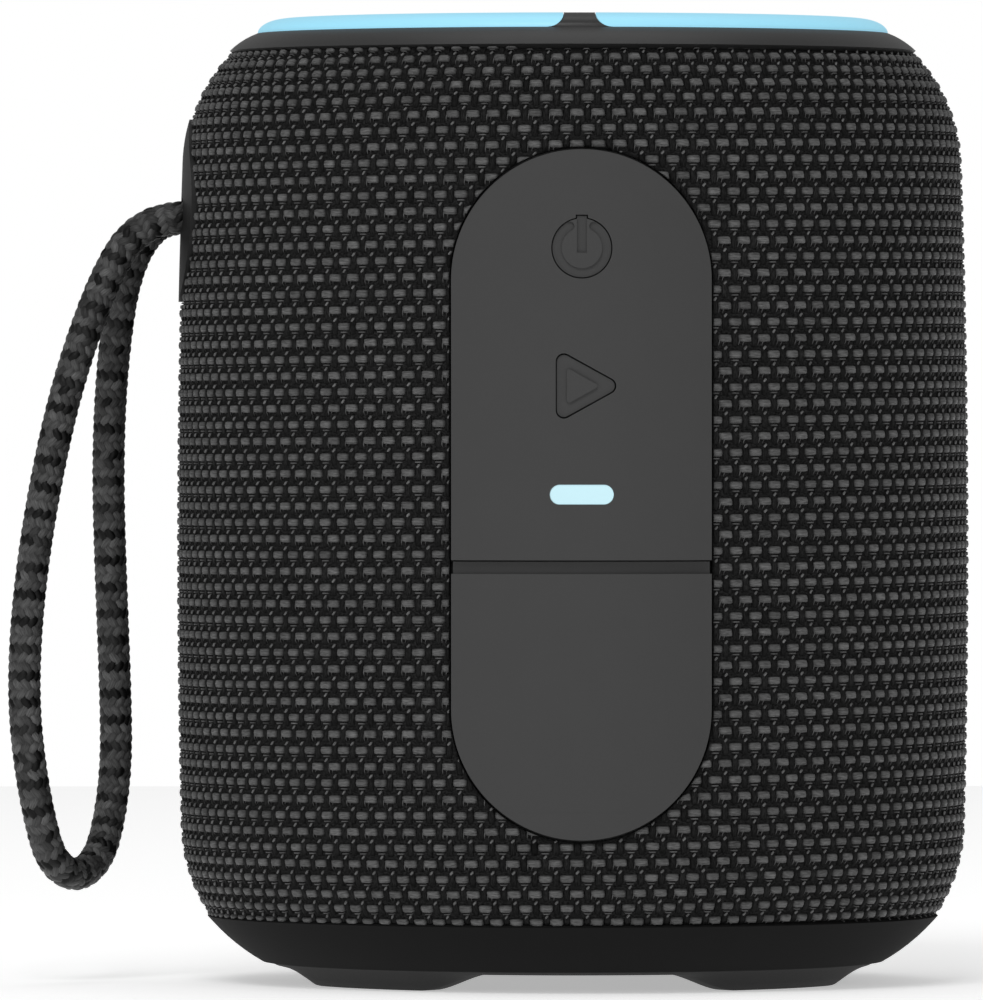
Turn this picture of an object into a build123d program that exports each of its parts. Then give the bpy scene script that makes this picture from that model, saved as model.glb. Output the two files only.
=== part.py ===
from build123d import *
from math import acos, asin, cos, pi, radians, sin, sqrt, tan
import os

# Compact shower speaker: a fabric-covered barrel with a lit top ring, a rubber control panel with a
# hinged port cover, and a braided lanyard. Millimetres, +Z up, axis on Z, feet on Z = 0.
# The control panel faces -Y and the lanyard hangs at -X.

# ---- Barrel ----
body_height = 104.5
body_radius = 43.0
side_arc_radius = 1200.0  # the sides bulge by less than a millimetre
side_mid_height = 47.0
shoulder_radius = 18.0
upper_shoulder_drop = 15.5  # below the top, where the side turns into the shoulder
lower_shoulder_height = 16.9
top_seam_inset = 5.8
bottom_seam_inset = 3.4

# ---- Walls and clearances ----
fabric_thickness = 0.8
shell_thickness = 1.4
skin_gap = 0.05  # between fabric and shell
seam_gap = 0.08  # between the sleeve's ends and the rings that hold them
edge_gap = 0.35  # fabric and shell round the control panel
fit_gap = 0.1
sliding_gap = 0.12  # key in its hole
lip_proud = 0.12
board_gap = 0.2  # round a board or a lid
screw_hole_gap = 0.2  # round a screw that passes through
overlap = 0.2  # two shapes of one piece run into each other by this much
slot_half_width = 2.2
slot_low_margin = 2.0  # above the driver baffle
slot_high_margin = 4.0  # below the deck
slot_pitch_angle = 10
slot_free_of_panel = 30  # degrees either side
slot_free_of_strap = 20

# ---- Top ----
trim_ring_width = 3.0
light_ring_width = 3.2
light_edge_drop = 1.6
bridge_top_width = 3.3
bridge_base_width = 7.1
trim_root_inset = 0.35  # the trim ring's skirt, inside the shell
trim_crown = (0.1, 0.15)  # how far its bevel bulges, outwards and upwards
light_lip = 0.1  # the light ring's step under its edge
light_wall = 0.6
light_glue = 0.01
cap_drop = 0.2
cap_thickness = 1.6
cap_skirt = 1.2
cap_fillet = 0.4
deck_drop = 7.2
deck_thickness = 2.3
deck_gap = 0.5
board_thickness = 1.2
volume_key_radius = 5.4
volume_key_offset = 12.0
key_flange = 1.1
key_flange_gap = 0.2
key_flange_thickness = 0.9
key_stem_radius = 1.6
key_stem_length = 0.6
key_travel = 0.3
sign_half_length = 2.2
sign_half_width = 0.5
top_switch_half = 3.0
top_switch_plunger = 0.6
diffuser_depth = 16.0
diffuser_tip_radius = 1.0
diffuser_waist_radius = 9.0
diffuser_waist_depth = 6.2
diffuser_radius = 24.0
diffuser_rim = 1.2
ring_led_half_width = 0.7
ring_led_half_length = 1.4
ring_led_height = 0.8
ring_led_count = 16
light_clearance = 1.4  # free height over the board for the ring lights

# ---- Control panel ----
panel_width = 27.6
panel_bottom = 16.6
panel_top_drop = 14.75
panel_proud = 0.5
panel_back_depth = 1.6
panel_split_rise = 29.65  # from the panel's lower end to the split
finger_groove = 1.45
split_gap = 0.15  # between the panel and the cover
groove_depth = 0.4
groove_inset = 0.2
icon_depth = 0.3
power_drop = 10.45  # below the panel's top
power_ring_outer = 3.12
power_ring_inner = 2.14
power_bar_width = 1.04
power_bar_low = -0.5
power_bar_high = 3.4
power_gap_angle = 29.0
play_drop = 25.05
play_width = 6.0
play_half_height = 2.96
play_shift = 0.34  # the triangle's box centre, right of the panel's middle
play_corner = 0.75
play_inner_half = 1.6
play_inner_half_height = 1.67
play_inner_corner = 0.25
lens_drop = 36.55
lens_width = 6.7
lens_height = 2.0
lens_gap = 0.06
lens_flange = 0.8
lens_board_gap = 1.3
front_flange = 1.5  # the front keys' flange, beyond the power sign's ring
front_flange_gap = 0.15
front_flange_thickness = 0.8
front_stem_radius = 1.5

# ---- Port cover ----
cover_back_depth = 1.2
hinge_height = 19.6  # the cover bends along this line, at its outer surface
hinge_gap = 0.1
anchor_half_width = 3.2
anchor_low = 17.6
anchor_depth = 3.2
seal_rib_thickness = 1.0
seal_rib_depth = 1.4
seal_gap = 0.4
seal_rise = 6.0  # the sealing rib starts this far above the well's bottom
plug_gap = 0.6  # round the cover's USB plug
aux_plug_gap = 0.5
aux_plug_insertion = 0.4
usb_plug_gap = 0.8  # the USB plug stops short of the receptacle's tongue

# ---- Port well ----
well_half_width = 10.2
well_bottom = 21.4
well_top = 42.4
well_wall = 1.0
well_corner = 3.0
well_floor_setback = 6.6  # from the body's radius to the front of the well's floor
usb_height = 37.2
usb_width = 8.94
usb_tall = 3.26
usb_wall = 0.3
aux_height = 26.8
aux_bore = 1.8
aux_body = 6.0
aux_neck_wall = 0.8
tongue_width = 6.2
tongue_thickness = 0.7
tongue_setback = 0.6
port_back_wall = 1.0  # the ports' solid backs

# ---- Panel carrier and front board ----
carrier_back_depth = 3.6
carrier_flange = 3.5
carrier_gap = 0.05  # behind the panel
rail_inner = 12.2
rail_outer = 14.2
rail_front_margin = 0.9
rail_top_drop = 6.0
pocket_gap = 0.4  # round a key's flange
pocket_depth_gap = 0.15
stem_hole_gap = 0.3
lens_pocket_gap = 0.3
lens_hole_gap = 0.15
button_board_setback = 5.57
button_board_half_width = 11.0
button_board_low = 5.0  # below the status light
button_board_high = 7.0  # above the power key
front_board_thickness = 1.0
switch_size = 5.0
switch_height = 1.6
switch_plunger = 0.4
switch_plunger_radius = 1.4
status_light_half = 1.6
status_light_half_height = 0.8
status_light_depth = 0.9

# ---- Base ----
foot_height = 1.9
foot_ring_inset = 10.1  # from the body's radius
foot_ring_width = 6.9
foot_contact_inset = 2.6  # from the ring's outside
foot_start_angle = 27.0
foot_end_angle = 65.0
base_underside = 2.3
base_edge_inset = 9.3  # from the body's radius
base_inner_lip = 1.0  # the base shows this much inside the foot ring
base_groove_top = 3.4
grille_ledge = 5.0
grille_seat_width = 2.5
grille_thickness = 0.8
base_top = 7.5
base_root_inset = 0.2
base_shoulder = (0.5, 0.55)  # from the lip, inwards and down
base_bulge = 0.2
base_chamfer_gap = 0.9
base_seat_gap = 0.3
grille_hole_radius = 1.1
grille_hole_pitch = 4.2
grille_hole_rows = 5

# ---- Enclosure ----
tub_wall = 2.0
tub_gap = 2.25  # between the shell's inside and the tub
tub_chamfer = 2.9
tub_chamfer_height = 4.0
boss_drop = 16.0
boss_tip = 0.8  # left above a screw's point
gasket_rim = 1.6
tub_front_setback = 14.0  # from the body's radius to the tub's flat front
radiator_hole_margin = 1.0  # inside the base's opening
screw_shank = 1.25
screw_head = 2.4
screw_head_height = 1.3
screw_length = 8.0
screw_fit = 0.05
base_screw_inset = 3.2  # from the foot ring's outside
baffle_screw_inset = 9.0  # from the body's radius
boss_radius = 3.0
acoustic_gap = 22.5  # free height between the driver baffle and the top deck
baffle_thickness = 2.5
gasket_thickness = 0.8
post_radius = 2.4
post_inset = 10.5  # from the body's radius to the posts' middles

# ---- Passive radiator ----
radiator_frame_overlap = 2.4
radiator_frame_step = 2.1
radiator_frame_thickness = 1.7
radiator_roll_width = 3.6
radiator_plate_thickness = 1.2
radiator_weight_radius = 11.0
radiator_weight_thickness = 1.2
plate_land = 1.2  # where the surround is glued to the plate
frame_land = 2.0
roll_gap = 0.2  # from the roll's foot to the plate's and the frame's edges

# ---- Driver ----
driver_flange_width = 2.2
driver_flange_thickness = 1.5
driver_hole_inset = 8.7  # from the baffle screws' circle
basket_depth = 13.0
basket_floor_radius = 14.5
basket_wall = 1.2
basket_floor = 1.5
basket_window_margin = 1.5  # outside the basket's floor
basket_window_half = 5.0
basket_window_low = 4.5
basket_window_high = 2.5
basket_hole_gap = 0.4  # in the baffle
top_plate_thickness = 2.5
magnet_radius = 18.0
magnet_height = 7.5
yoke_thickness = 2.5
pole_radius = 6.2
coil_inner = 6.5
coil_outer = 7.1
coil_half_height = 6.0
coil_gap = 0.25
coil_basket_gap = 0.5
magnet_bore_gap = 2.4
steel_inset = 2.0  # the plate and the yoke, from the magnet's edge
cone_neck_rise = 5.5
cone_neck_thickness = 0.7
cone_rim_thickness = 0.6
cone_land = 1.2
flange_land = 2.2
spider_rise = 2.6
cone_inset = 4.9  # from the baffle's hole
surround_roll = 1.9
dust_cap_rise = 2.8
dust_cap_thickness = 0.4
dust_cap_overlap = 1.5
rubber_thickness = 0.5

# ---- Battery and main board ----
cell_radius = 9.15
cell_length = 50.0
cell_pitch = 18.8
cell_fillet = 0.8
cell_end_gap = 0.5
cell_side_gap = 0.4
tray_height = 15.5
tray_wall = 1.4
main_board_height = 38.0
main_board_gap = 3.5  # to the tub's wall
main_board_thickness = 1.6
post_size = 4.0
tray_post_y = 12.0

# ---- Lanyard ----
strap_disc_radius = 9.9
strap_stem_radius = 8.0
strap_drop = 20.8  # from the top to the disc's middle
strap_stem_length = 4.6
strap_proud = 0.1
cord_diameter = 3.6
cord_hole_radius = 2.0
cord_spread = 2.6  # each strand's distance from the middle of the disc
cord_drop = 0.5  # from the disc's middle to the cord's holes
crimp_length = 2.6
crimp_margin = 2.6  # beyond each strand's middle
crimp_half_height = 2.4
nut_thickness = 2.4
lead_diameter = 1.2
header_height = 4.0

# ---- Derived sizes ----
upper_shoulder_height = body_height - upper_shoulder_drop
top_seam_radius = body_radius - top_seam_inset
bottom_seam_radius = body_radius - bottom_seam_inset
shell_outer_depth = fabric_thickness + skin_gap
shell_inner_depth = shell_outer_depth + shell_thickness
light_outer_radius = top_seam_radius - trim_ring_width
light_inner_radius = light_outer_radius - light_ring_width
light_edge_height = body_height - light_edge_drop
cap_top = body_height - cap_drop
cap_radius = light_inner_radius - board_gap
cap_bottom = cap_top - cap_thickness
deck_top = body_height - deck_drop
deck_bottom = deck_top - deck_thickness
key_flange_top = cap_bottom - key_flange_gap
key_flange_low = key_flange_top - key_flange_thickness
board_top = deck_top + board_thickness
light_underside = board_top + light_clearance
panel_top = body_height - panel_top_drop
panel_split = panel_bottom + panel_split_rise
cover_top = panel_split - finger_groove
front_flange_front = panel_back_depth + front_flange_gap
front_flange_back = front_flange_front + front_flange_thickness
power_height = panel_top - power_drop
play_height = panel_top - play_drop
lens_center = panel_top - lens_drop
tub_radius = body_radius - shell_inner_depth - tub_gap
tub_foot_radius = tub_radius - tub_chamfer
baffle_top = deck_bottom - acoustic_gap
baffle_bottom = baffle_top - baffle_thickness
tub_top = baffle_bottom - gasket_thickness
tub_floor_top = base_top + tub_wall
tub_front = body_radius - tub_front_setback
tub_inner_front = tub_front - tub_wall
well_floor_front = body_radius - well_floor_setback
base_edge_radius = body_radius - base_edge_inset
foot_ring_outer = body_radius - foot_ring_inset
foot_contact_outer = foot_ring_outer - foot_contact_inset
foot_ring_inner = foot_ring_outer - foot_ring_width
base_inner_radius = foot_ring_inner - base_inner_lip
grille_radius = base_inner_radius + grille_seat_width
base_screw_radius = foot_ring_outer - base_screw_inset
baffle_screw_radius = body_radius - baffle_screw_inset
post_circle = body_radius - post_inset
radiator_hole = base_inner_radius - radiator_hole_margin
radiator_frame_outer = radiator_hole + radiator_frame_overlap
radiator_frame_inner = radiator_hole - radiator_frame_step
radiator_plate_radius = radiator_frame_inner - radiator_roll_width
driver_hole = baffle_screw_radius - driver_hole_inset
basket_neck = driver_hole - basket_hole_gap
basket_low = baffle_top - basket_depth
magnet_top = basket_low - top_plate_thickness
cone_rim = baffle_top + driver_flange_thickness - fit_gap
cone_neck = coil_outer + skin_gap
cone_neck_top = basket_low + cone_neck_rise + cone_neck_thickness
surround_inner = basket_neck - basket_wall - 2 * surround_roll
driver_flange_radius = driver_hole + driver_flange_width
cone_radius = driver_hole - cone_inset
main_board_radius = tub_radius - tub_wall - main_board_gap
baffle_screw_angles = (30, 150, 210, 330)
base_screw_angles = (45, 135, 225, 315)
post_angles = (0, 60, 120, 180, 228, 312)
strap_height = body_height - strap_drop
cord_height = strap_height - cord_drop
far = 80.0  # longer than any cut needs

# ---- The barrel's profile: three arcs, tangent to each other ----
lower_angle = asin((side_mid_height - lower_shoulder_height) / side_arc_radius)
upper_angle = asin((upper_shoulder_height - side_mid_height) / side_arc_radius)
side_center = (body_radius - side_arc_radius, side_mid_height)
shoulder_reach = side_arc_radius - shoulder_radius
upper_center = (
    side_center[0] + shoulder_reach * cos(upper_angle),
    side_center[1] + shoulder_reach * sin(upper_angle),
)
lower_center = (
    side_center[0] + shoulder_reach * cos(lower_angle),
    side_center[1] - shoulder_reach * sin(lower_angle),
)
top_seam_angle = acos((top_seam_radius - upper_center[0]) / shoulder_radius)
bottom_seam_angle = acos((bottom_seam_radius - lower_center[0]) / shoulder_radius)


def on_arc(center, radius, angle):
    """Point of an arc, as (radius from the axis, height)."""
    return (center[0] + radius * cos(angle), center[1] + radius * sin(angle))


def arc_through(center, radius, start, end):
    """Arc about a centre, between two angles."""
    middle = (start + end) / 2
    return ThreePointArc(*[on_arc(center, radius, angle) for angle in (start, middle, end)])


def barrel_arcs(depth):
    """The barrel's profile at a depth under the fabric's outside, from the bottom seam up."""
    shoulder = shoulder_radius - depth
    side = side_arc_radius - depth
    return [
        arc_through(lower_center, shoulder, -bottom_seam_angle, -lower_angle),
        arc_through(side_center, side, -lower_angle, upper_angle),
        arc_through(upper_center, shoulder, upper_angle, top_seam_angle),
    ]


def barrel_radius(height, depth=0.0):
    """Radius of the barrel at a height, at a depth under the fabric's outside."""
    if height > upper_shoulder_height:
        return upper_center[0] + sqrt((shoulder_radius - depth) ** 2 - (height - upper_center[1]) ** 2)
    if height < lower_shoulder_height:
        return lower_center[0] + sqrt((shoulder_radius - depth) ** 2 - (height - lower_center[1]) ** 2)
    return side_center[0] + sqrt((side_arc_radius - depth) ** 2 - (height - side_mid_height) ** 2)


def turned(edges):
    """Solid turned about Z from a closed outline of edges drawn as (radius, height)."""
    return revolve(Plane.XZ * make_face(edges), Axis.Z, 360)


def turned_polygon(*points):
    """Solid turned about Z from a polygon of (radius, height) points."""
    return turned(Polyline(*points, close=True).edges())


def layer(outer_depth, inner_depth):
    """Barrel-shaped skin between two depths."""
    outer = barrel_arcs(outer_depth)
    inner = barrel_arcs(inner_depth)
    ends = [Line(inner[0] @ 0, outer[0] @ 0), Line(outer[2] @ 1, inner[2] @ 1)]
    return turned(outer + inner + ends)


def core(depth):
    """Everything inside the barrel at a depth."""
    arcs = barrel_arcs(depth)
    low = arcs[0] @ 0
    high = arcs[2] @ 1
    return turned(arcs + Polyline(high, (0, high.Y), (0, low.Y), low).edges())


def ring(outer_radius, inner_radius, low, high):
    """Flat ring between two heights."""
    return turned_polygon((inner_radius, low), (outer_radius, low), (outer_radius, high), (inner_radius, high))


def disc(radius, low, high, x=0.0, y=0.0):
    """Upright round solid between two heights."""
    return Pos(x, y, (low + high) / 2) * Cylinder(radius, high - low)


def block(x_low, x_high, y_low, y_high, z_low, z_high):
    """Box between two corners."""
    size = Box(x_high - x_low, y_high - y_low, z_high - z_low)
    return Pos((x_low + x_high) / 2, (y_low + y_high) / 2, (z_low + z_high) / 2) * size


def forward(sketch, start=0.0, reach=far):
    """Prism from a sketch drawn as (x, height), from a distance in front of the axis outwards."""
    return Pos(0, -start, 0) * extrude(Plane.XZ * sketch, amount=reach - start)


def pill(grow=0.0):
    """The control panel's outline."""
    middle = (panel_bottom + panel_top) / 2
    height = panel_top - panel_bottom
    return Pos(0, middle) * SlotOverall(height + 2 * grow, panel_width + 2 * grow, rotation=90)


def rounded_box(half_width, low, high, corner):
    """Upright rounded rectangle, drawn as (x, height)."""
    return Pos(0, (low + high) / 2) * RectangleRounded(2 * half_width, high - low, corner)


def around(radius, angles, shape):
    """Copies of a shape, moved out to a radius and turned about Z."""
    return [Rot(0, 0, angle) * Pos(radius, 0, 0) * shape for angle in angles]


def screw(seat, point=-1):
    """Pan-head screw on its own axis, its head on a seat: point is -1 downwards and 1 upwards."""
    low, high = sorted((seat, seat + point * screw_length))
    head_low, head_high = sorted((seat, seat - point * screw_head_height))
    return disc(screw_shank, low, high) + disc(screw_head, head_low, head_high)


# ---- Outer skin ----
def strap_bore(radius):
    """Round hole through the barrel's left side, at the lanyard's disc."""
    return Pos(-body_radius, 0, strap_height) * Rot(0, 90, 0) * Cylinder(radius, body_radius / 2)


def grille_fabric():
    """Woven sleeve, open round the control panel and the lanyard's disc."""
    sleeve = layer(0, fabric_thickness)
    return sleeve - forward(pill(edge_gap)) - strap_bore(strap_disc_radius + fit_gap)


def grille_shell():
    """Rigid sleeve under the fabric, with sound slots level with the acoustic gap."""
    shell = layer(shell_outer_depth, shell_inner_depth)
    shell = shell - forward(pill(edge_gap)) - strap_bore(strap_stem_radius + fit_gap)
    slot = block(0, 2 * body_radius, -slot_half_width, slot_half_width, baffle_top + slot_low_margin,
                 deck_bottom - slot_high_margin)
    free_angles = [
        angle for angle in range(0, 360, slot_pitch_angle)
        if abs(angle - 270) > slot_free_of_panel and abs(angle - 180) > slot_free_of_strap
    ]
    return shell - [Rot(0, 0, angle) * slot for angle in free_angles]


# ---- Top ----
def seam_point(depth, center, angle, offset):
    """Point on the line that closes the sleeve's end, pushed along the profile by an offset."""
    x, z = on_arc(center, shoulder_radius - depth, angle)
    return (x - offset * sin(angle), z + offset * cos(angle))


def light_section(outer, bottom):
    """Cross-section of the light ring: a quarter ellipse from its inner edge down to its outer edge."""
    center = (light_inner_radius, light_edge_height)
    dome = EllipticalCenterArc(center, light_ring_width, light_edge_drop, start_angle=0, arc_size=90)
    low_edge = light_edge_height - light_lip
    walls = Polyline((light_inner_radius, body_height), (light_inner_radius, bottom), (outer, bottom),
                     (outer, low_edge), (light_outer_radius, light_edge_height))
    return [dome] + list(walls.edges())


def bridge_prism(grow, low):
    """Bar that crosses the light ring on flared flanks, drawn across the front and run right through."""
    half_base = bridge_base_width / 2 + grow
    half_top = bridge_top_width / 2 + grow
    flare = half_base - half_top
    roof = body_height + 1
    rise = body_height - fit_gap - light_edge_height
    flanks = [
        EllipticalCenterArc((side * half_base, light_edge_height + rise), flare, rise, start_angle=start,
                            arc_size=90)
        for side, start in ((1, 180), (-1, 270))
    ]
    top = light_edge_height + rise
    above = Polyline((half_top, top), (half_top, roof), (-half_top, roof), (-half_top, top))
    below = Polyline((half_base, light_edge_height), (half_base, low), (-half_base, low),
                     (-half_base, light_edge_height))
    face = make_face(flanks + list(above.edges()) + list(below.edges()))
    return Pos(0, far, 0) * extrude(Plane.XZ * face, amount=2 * far)


def top_trim_ring():
    """Grey ring that closes the sleeve's top, with two bars across the light ring."""
    lip = seam_point(-lip_proud, upper_center, top_seam_angle, seam_gap)
    root = seam_point(shell_inner_depth + trim_root_inset, upper_center, top_seam_angle, seam_gap)
    inner = light_outer_radius + fit_gap
    crown = ((lip[0] + inner) / 2 + trim_crown[0], (lip[1] + light_edge_height) / 2 + trim_crown[1])
    bevel = ThreePointArc(lip, crown, (inner, light_edge_height))
    skirt = Polyline((inner, light_edge_height), (inner, deck_top), (root[0], deck_top), root, lip)
    hoop = turned([bevel] + list(skirt.edges()))
    bars = turned(light_section(inner + light_lip, board_top)) & bridge_prism(0, board_top)
    return hoop + bars


def light_ring(side):
    """One half of the translucent ring: side is -1 on the left and 1 on the right."""
    body = turned(light_section(light_outer_radius - light_glue, light_underside))
    skirt = ring(light_inner_radius + light_wall, light_inner_radius, board_top, light_underside)
    half = block(0, side * far, -far, far, 0, 2 * far) if side > 0 else block(-far, 0, -far, far, 0, 2 * far)
    return ((body + skirt) - bridge_prism(seam_gap, 0)) & half


def top_cap():
    """Round rubber-coated lid inside the light ring, with two key holes."""
    lid = disc(cap_radius, cap_bottom, cap_top)
    skirt_radius = cap_radius - board_gap
    skirt = ring(skirt_radius, skirt_radius - cap_skirt, board_top, cap_bottom)
    holes = [
        disc(volume_key_radius + sliding_gap, cap_bottom - 1, cap_top + 1, x)
        for x in (-volume_key_offset, volume_key_offset)
    ]
    lid = fillet((lid.edges() | GeomType.CIRCLE).group_by(Axis.Z)[-1], cap_fillet)
    return lid + skirt - holes


def volume_key(x, plus):
    """Round top key with a debossed sign, held under the lid by its flange."""
    key = disc(volume_key_radius, key_flange_low, cap_top, x)
    key += disc(volume_key_radius + key_flange, key_flange_low, key_flange_top, x)
    key += disc(key_stem_radius, key_flange_low - key_stem_length, key_flange_low, x)
    bar = block(x - sign_half_length, x + sign_half_length, -sign_half_width, sign_half_width,
                cap_top - icon_depth, cap_top + 1)
    key -= bar
    return key - Pos(x, 0, 0) * Rot(0, 0, 90) * Pos(-x, 0, 0) * bar if plus else key


def top_board():
    """Round board for the ring lights and the top switches."""
    return disc(light_outer_radius - board_gap, deck_top, board_top)


def ring_lights():
    """Small lights under the light ring, clear of the two bars."""
    light = block(-ring_led_half_width, ring_led_half_width, -ring_led_half_length, ring_led_half_length,
                  board_top, board_top + ring_led_height)
    step = 360 / ring_led_count
    middle = (light_inner_radius + light_wall + light_outer_radius) / 2
    return around(middle, [step * (i + 0.5) for i in range(ring_led_count)], light)


def top_switches():
    """Two dome switches under the volume keys."""
    half = top_switch_half
    plunger_top = key_flange_low - key_stem_length - key_travel - fit_gap
    body_top = plunger_top - top_switch_plunger
    return [
        block(x - half, x + half, -half, half, board_top, body_top)
        + disc(key_stem_radius, body_top, plunger_top, x)
        for x in (-volume_key_offset, volume_key_offset)
    ]


def upper_frame():
    """Deck on posts that stand on the driver baffle."""
    deck = disc(barrel_radius(deck_top, shell_inner_depth) - deck_gap, deck_bottom, deck_top)
    posts = around(post_circle, post_angles, disc(post_radius, baffle_top, deck_bottom))
    seat = deck_top - screw_head_height
    shanks = around(post_circle, post_angles, disc(screw_shank + screw_fit, seat - screw_length, 2 * far))
    heads = around(post_circle, post_angles, disc(screw_head + fit_gap, seat, 2 * far))
    return deck + posts - shanks - heads


def diffuser_cone():
    """Cone under the deck that turns the driver's sound outwards."""
    tip = (diffuser_tip_radius, deck_bottom - diffuser_depth)
    waist = (diffuser_waist_radius, deck_bottom - diffuser_waist_depth)
    rim = (diffuser_radius, deck_bottom - diffuser_rim)
    rest = Polyline(rim, (diffuser_radius, deck_bottom), (0, deck_bottom), (0, tip[1]), tip)
    return turned([ThreePointArc(tip, waist, rim)] + list(rest.edges()))


# ---- Control panel ----
def power_outline():
    """Outline of the power key: the ring's outside with the end of its bar."""
    bar_low = power_height + power_bar_low
    bar_high = power_height + power_bar_high
    bar = Pos(0, (bar_low + bar_high) / 2) * Rectangle(power_bar_width, bar_high - bar_low)
    return Pos(0, power_height) * Circle(power_ring_outer) + bar


def power_groove():
    """The power sign: an open ring with round ends, and a bar."""
    middle = (power_ring_outer + power_ring_inner) / 2
    half = (power_ring_outer - power_ring_inner) / 2
    start = 90 + power_gap_angle
    sweep = 360 - 2 * power_gap_angle
    outer = CenterArc((0, 0), power_ring_outer, start, sweep)
    inner = CenterArc((0, 0), power_ring_inner, start, sweep)
    hoop = make_face([outer, inner, Line(inner @ 0, outer @ 0), Line(outer @ 1, inner @ 1)])
    ends = [
        Pos(middle * cos(radians(a)), middle * sin(radians(a))) * Circle(half)
        for a in (start, start + sweep)
    ]
    bar = Pos(0, (power_bar_low + power_bar_high) / 2) * Rectangle(power_bar_width,
                                                                   power_bar_high - power_bar_low)
    return Pos(0, power_height) * (hoop + ends + bar)


def play_triangle(half_width, half_height, shift, corner):
    """Rounded triangle that points right, drawn as (x, height)."""
    left = shift - half_width
    right = shift + half_width
    slope = sqrt((2 * half_width) ** 2 + half_height**2)
    overshoot = corner * (slope / half_height - 1)
    climb = corner * ((slope + 2 * half_width) / half_height - 1) * half_height / (2 * half_width)
    tip = right + overshoot
    reach = half_height + climb - corner * half_height / (2 * half_width)
    corners = Polyline((left, play_height - reach), (left, play_height + reach), (tip, play_height), close=True)
    face = make_face(corners.edges())
    return fillet(face.vertices(), corner)


def key_body(outline, height):
    """Key that follows the panel's curve: a prism, its flange and its stem to the switch."""
    front = forward(outline) & layer(icon_depth - panel_proud, front_flange_front + overlap)
    flange = forward(Pos(0, height) * Circle(power_ring_outer + front_flange))
    flange = flange & layer(front_flange_front, front_flange_back)
    stem = forward(Pos(0, height) * Circle(front_stem_radius), stem_end()) & core(front_flange_back - overlap)
    return front + flange + stem


def stem_end():
    """Distance from the axis at which both key stems end."""
    return button_board_front() + switch_height + switch_plunger + key_travel + fit_gap


def button_board_front():
    """Distance from the axis of the front board's front face."""
    return barrel_radius(power_height) - button_board_setback


def power_key():
    """Power key with its sign debossed."""
    raised = (power_outline() - power_groove()).faces()
    key = key_body(power_outline(), power_height)
    level = layer(-panel_proud, icon_depth - panel_proud + 0.01)
    for patch in raised:
        key += forward(patch) & level
    return key


def play_outline(grow=0.0):
    """Outline of the play key."""
    return play_triangle(play_width / 2 + grow, play_half_height + grow, play_shift, play_corner + grow)


def play_key():
    """Play key: a sunk triangle with a smaller raised one in it."""
    inner = play_triangle(play_inner_half, play_inner_half_height, 0, play_inner_corner)
    raised = forward(inner) & layer(-panel_proud, icon_depth - panel_proud + 0.01)
    return key_body(play_outline(), play_height) + raised


def lens_outline(grow):
    """Outline of the status light's lens."""
    return Pos(0, lens_center) * SlotOverall(lens_width + 2 * grow, lens_height + 2 * grow)


def status_lens():
    """Clear light pipe, flush with the panel and held behind it by a flange."""
    back = button_board_front() + lens_board_gap
    pipe = forward(lens_outline(0), back) & core(-panel_proud)
    flange = forward(lens_outline(lens_flange)) & layer(front_flange_front, front_flange_back)
    return pipe + flange


def control_panel():
    """Upper rubber panel, down to the split above the port cover."""
    plate = forward(pill()) & layer(-panel_proud, panel_back_depth)
    plate = plate - block(-far, far, -far, far, -far, panel_split)
    plate = plate - forward(Pos(0, power_height) * Circle(power_ring_outer + sliding_gap))
    bar_high = power_height + power_bar_high + sliding_gap
    slot = Pos(0, (power_height + bar_high) / 2) * Rectangle(power_bar_width + 2 * sliding_gap,
                                                            bar_high - power_height)
    plate = plate - forward(slot)
    plate = plate - forward(play_outline(sliding_gap))
    return plate - forward(lens_outline(lens_gap))


def panel_carrier():
    """Hard frame behind the panel, flanged behind the shell and standing on the tub's flat front."""
    flange = forward(pill(carrier_flange)) & layer(shell_inner_depth + fit_gap, carrier_back_depth)
    pad = forward(pill(overlap)) & layer(panel_back_depth + carrier_gap, shell_inner_depth + overlap)
    frame = flange + pad
    rail_front = barrel_radius(panel_top, carrier_back_depth) ** 2 - rail_outer**2
    for low, high in ((-rail_outer, -rail_inner), (rail_inner, rail_outer)):
        frame += block(low, high, -sqrt(rail_front) - rail_front_margin, -tub_front, well_bottom,
                       panel_top - rail_top_drop)
    pockets = layer(0, front_flange_back + key_travel + pocket_depth_gap)
    for height in (power_height, play_height):
        frame -= forward(Pos(0, height) * Circle(power_ring_outer + front_flange + pocket_gap)) & pockets
        frame -= forward(Pos(0, height) * Circle(front_stem_radius + stem_hole_gap))
    frame -= forward(lens_outline(lens_flange + lens_pocket_gap)) & layer(0, front_flange_back + carrier_gap)
    frame -= forward(lens_outline(lens_hole_gap))
    frame -= forward(well_outline(well_wall + fit_gap))
    return frame - forward(anchor_outline(fit_gap))


def anchor_outline(grow):
    """Outline of the plug that holds the port cover's fixed end."""
    height = hinge_height - hinge_gap - anchor_low
    middle = Pos(0, anchor_low + height / 2)
    return middle * Rectangle(2 * (anchor_half_width + grow), height + 2 * grow)


def button_board():
    """Front board for the two switches and the status light."""
    front = button_board_front()
    return block(-button_board_half_width, button_board_half_width, -front, front_board_thickness - front,
                 lens_center - button_board_low, power_height + button_board_high)


def front_switches():
    """Two dome switches behind the panel's keys."""
    front = button_board_front()
    half = switch_size / 2
    switches = []
    for height in (power_height, play_height):
        body = block(-half, half, -front - switch_height, -front, height - half, height + half)
        plunger = forward(Pos(0, height) * Circle(switch_plunger_radius), front + switch_height,
                          front + switch_height + switch_plunger)
        switches.append(body + plunger)
    return switches


def status_light():
    """Small light behind the lens."""
    front = button_board_front()
    return block(-status_light_half, status_light_half, -front - status_light_depth, -front,
                 lens_center - status_light_half_height, lens_center + status_light_half_height)


# ---- Ports ----
def well_outline(grow):
    """Outline of the port well's inside."""
    return rounded_box(well_half_width + grow, well_bottom - grow, well_top + grow, well_corner + grow)


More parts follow.
